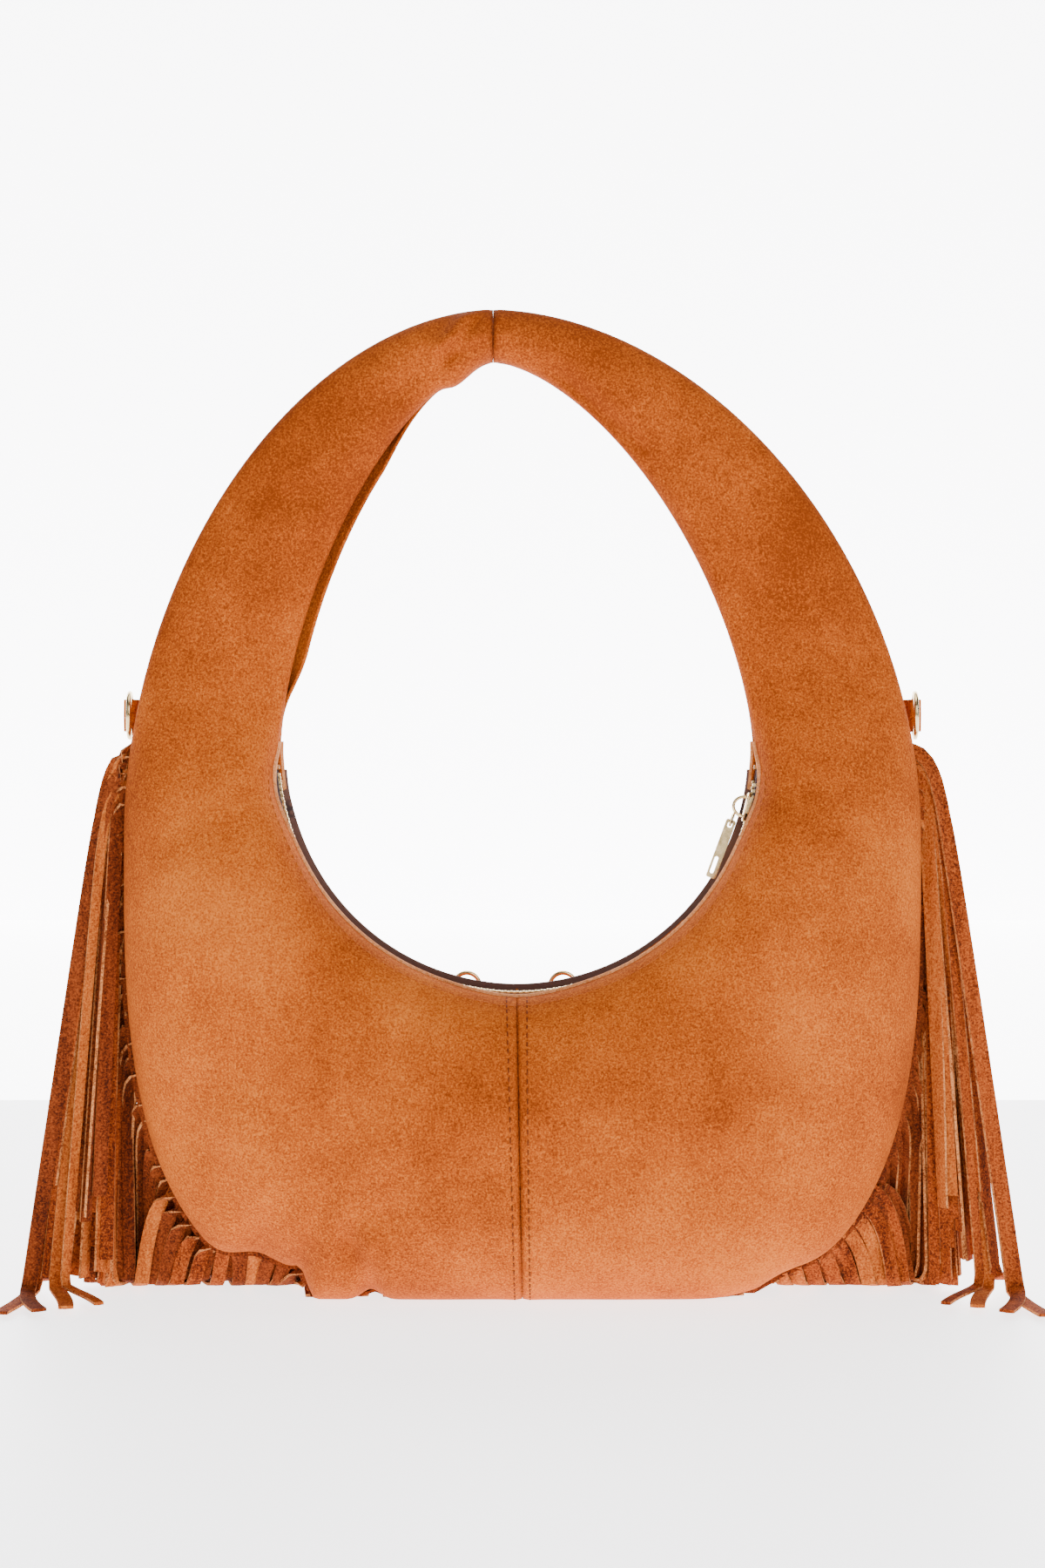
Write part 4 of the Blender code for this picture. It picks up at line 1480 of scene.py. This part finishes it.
# ------------------------------------------------------------------ inside
@dataclass
class Inside:
    """The sewn lining and the felt that fills the strap."""

    shape: Crescent
    dress: Wardrobe
    rows: int = 60
    columns: int = 13
    clear: float = 5.0 * MM        # how far the lining stays inside the suede
    least: float = 1.0 * MM        # half the lining's least width
    lowest: float = 32 * MM        # the lining hangs a little short of the bottom seam
    cloth: float = 0.6 * MM

    def build_lining(self) -> None:
        """Hang the two sides of the lining from below the lips."""
        wide = self.columns
        for face in Face:
            name = f"lining_{face.name.lower()}"
            points, faces = [], []
            angles = steps(math.radians(194), math.radians(346), self.rows)
            for angle in angles:
                for place in steps(0.2, 1.6, wide - 1):
                    p = self.shape.point(angle, place, face, self.lowest)
                    half = max(abs(p.y) - self.clear, self.least)
                    points.append(Vector((p.x, face.value * half, p.z)))
            for r in range(len(angles) - 1):
                for k in range(wide - 1):
                    a = r * wide + k
                    faces.append((a, a + 1, a + wide + 1, a + wide))
            piece = new_object(f"sewn_{name}", mesh_of(name, points, faces), self.dress.tape)
            solidify(piece, self.cloth, 0.0)
            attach(piece, "bag")
            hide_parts(name)

    def build(self) -> None:
        """Make the lining and dress the strap's filler in felt."""
        self.build_lining()
        for name in ("strap_padding_left", "strap_padding_right"):
            for slot in bpy.data.objects[name].material_slots:
                slot.material = self.dress.felt


# ------------------------------------------------------------------ studio
@dataclass
class Studio:
    """Pale paper sweep, soft lights and the camera."""

    dress: Wardrobe
    distance: float = 1.15
    eye_height: float = 0.2455
    view_height: float = 0.749       # height of the view at the bag
    join_y: float = 0.72             # where the floor's paper meets the backdrop's
    wall_y: float = 3.2
    reach: float = 4.0               # half the paper's width, and the wall's height
    film: float = 36.0               # the camera's sensor, in millimetres
    room_glow: float = 0.15

    def build(self) -> None:
        """Set the stage, the lights and the camera."""
        edge, join, wall = self.reach, self.join_y, self.wall_y
        near = [(-edge, -edge, 0), (edge, -edge, 0), (edge, join, 0), (-edge, join, 0)]
        far = [(-edge, join, 0), (edge, join, 0), (edge, wall, 0), (-edge, wall, 0),
               (edge, wall, edge), (-edge, wall, edge)]
        for name, points, faces, paper in (
                ("paper_floor", near, [(0, 1, 2, 3)], self.dress.paper),
                ("paper_sweep", far, [(0, 1, 2, 3), (3, 2, 4, 5)], self.dress.lit_paper)):
            mesh = bpy.data.meshes.new(name)
            mesh.from_pydata(points, [], faces)
            new_object(name, mesh, paper)
        self.light("key_softbox", (0.8, -1.6, 1.1), 1.0, 17.0)
        self.light("fill_softbox", (-1.2, -1.3, 0.9), 1.2, 3.0)
        self.light("top_softbox", (0.1, -0.1, 1.9), 1.2, 10.0)
        self.light("paper_light", (0.0, 0.35, 1.5), 1.2, 6.0, aim=(0.0, 0.75, 0.5))
        world = bpy.data.worlds.new("studio")
        world.use_nodes = True
        glow = world.node_tree.nodes["Background"]
        glow.inputs["Color"].default_value = linear("F4F4FA")
        glow.inputs["Strength"].default_value = self.room_glow
        bpy.context.scene.world = world
        lens = bpy.data.cameras.new("camera")
        lens.sensor_width = lens.sensor_height = self.film
        lens.lens = self.film * self.distance / self.view_height
        camera = bpy.data.objects.new("camera", lens)
        camera.location = (0.0, -self.distance, self.eye_height)
        camera.rotation_euler = (math.pi / 2.0, 0.0, 0.0)
        bpy.context.scene.collection.objects.link(camera)
        bpy.context.scene.camera = camera

    def light(self, name: str, place: tuple, size: float, power: float,
              aim: tuple = (0.0, 0.0, 0.2)) -> None:
        """Add one square softbox that faces its aim.

        Args:
            name: the light's name.
            place: where it stands.
            size: its side.
            power: its strength in watts.
            aim: the point that it faces.
        """
        lamp = bpy.data.lights.new(name, "AREA")
        lamp.size = size
        lamp.energy = power
        made = bpy.data.objects.new(name, lamp)
        made.location = place
        made.rotation_euler = (Vector(aim) - Vector(place)).to_track_quat("-Z", "Y").to_euler()
        bpy.context.scene.collection.objects.link(made)


def main() -> None:
    """Build every sub-assembly in order and report the pieces of each."""
    logging.basicConfig(level=logging.INFO)
    dress = Wardrobe()
    shape = Crescent()
    for maker in (Studio(dress), SuedeBody(shape, dress), CurvedZip(shape, dress),
                  Hardware(dress), Fringe(shape, dress), Inside(shape, dress)):
        before = set(bpy.data.objects.keys())
        maker.build()
        for name in sorted(set(bpy.data.objects.keys()) - before):
            log.info("%s made %s", type(maker).__name__, name)


if __name__ == "__main__":
    main()
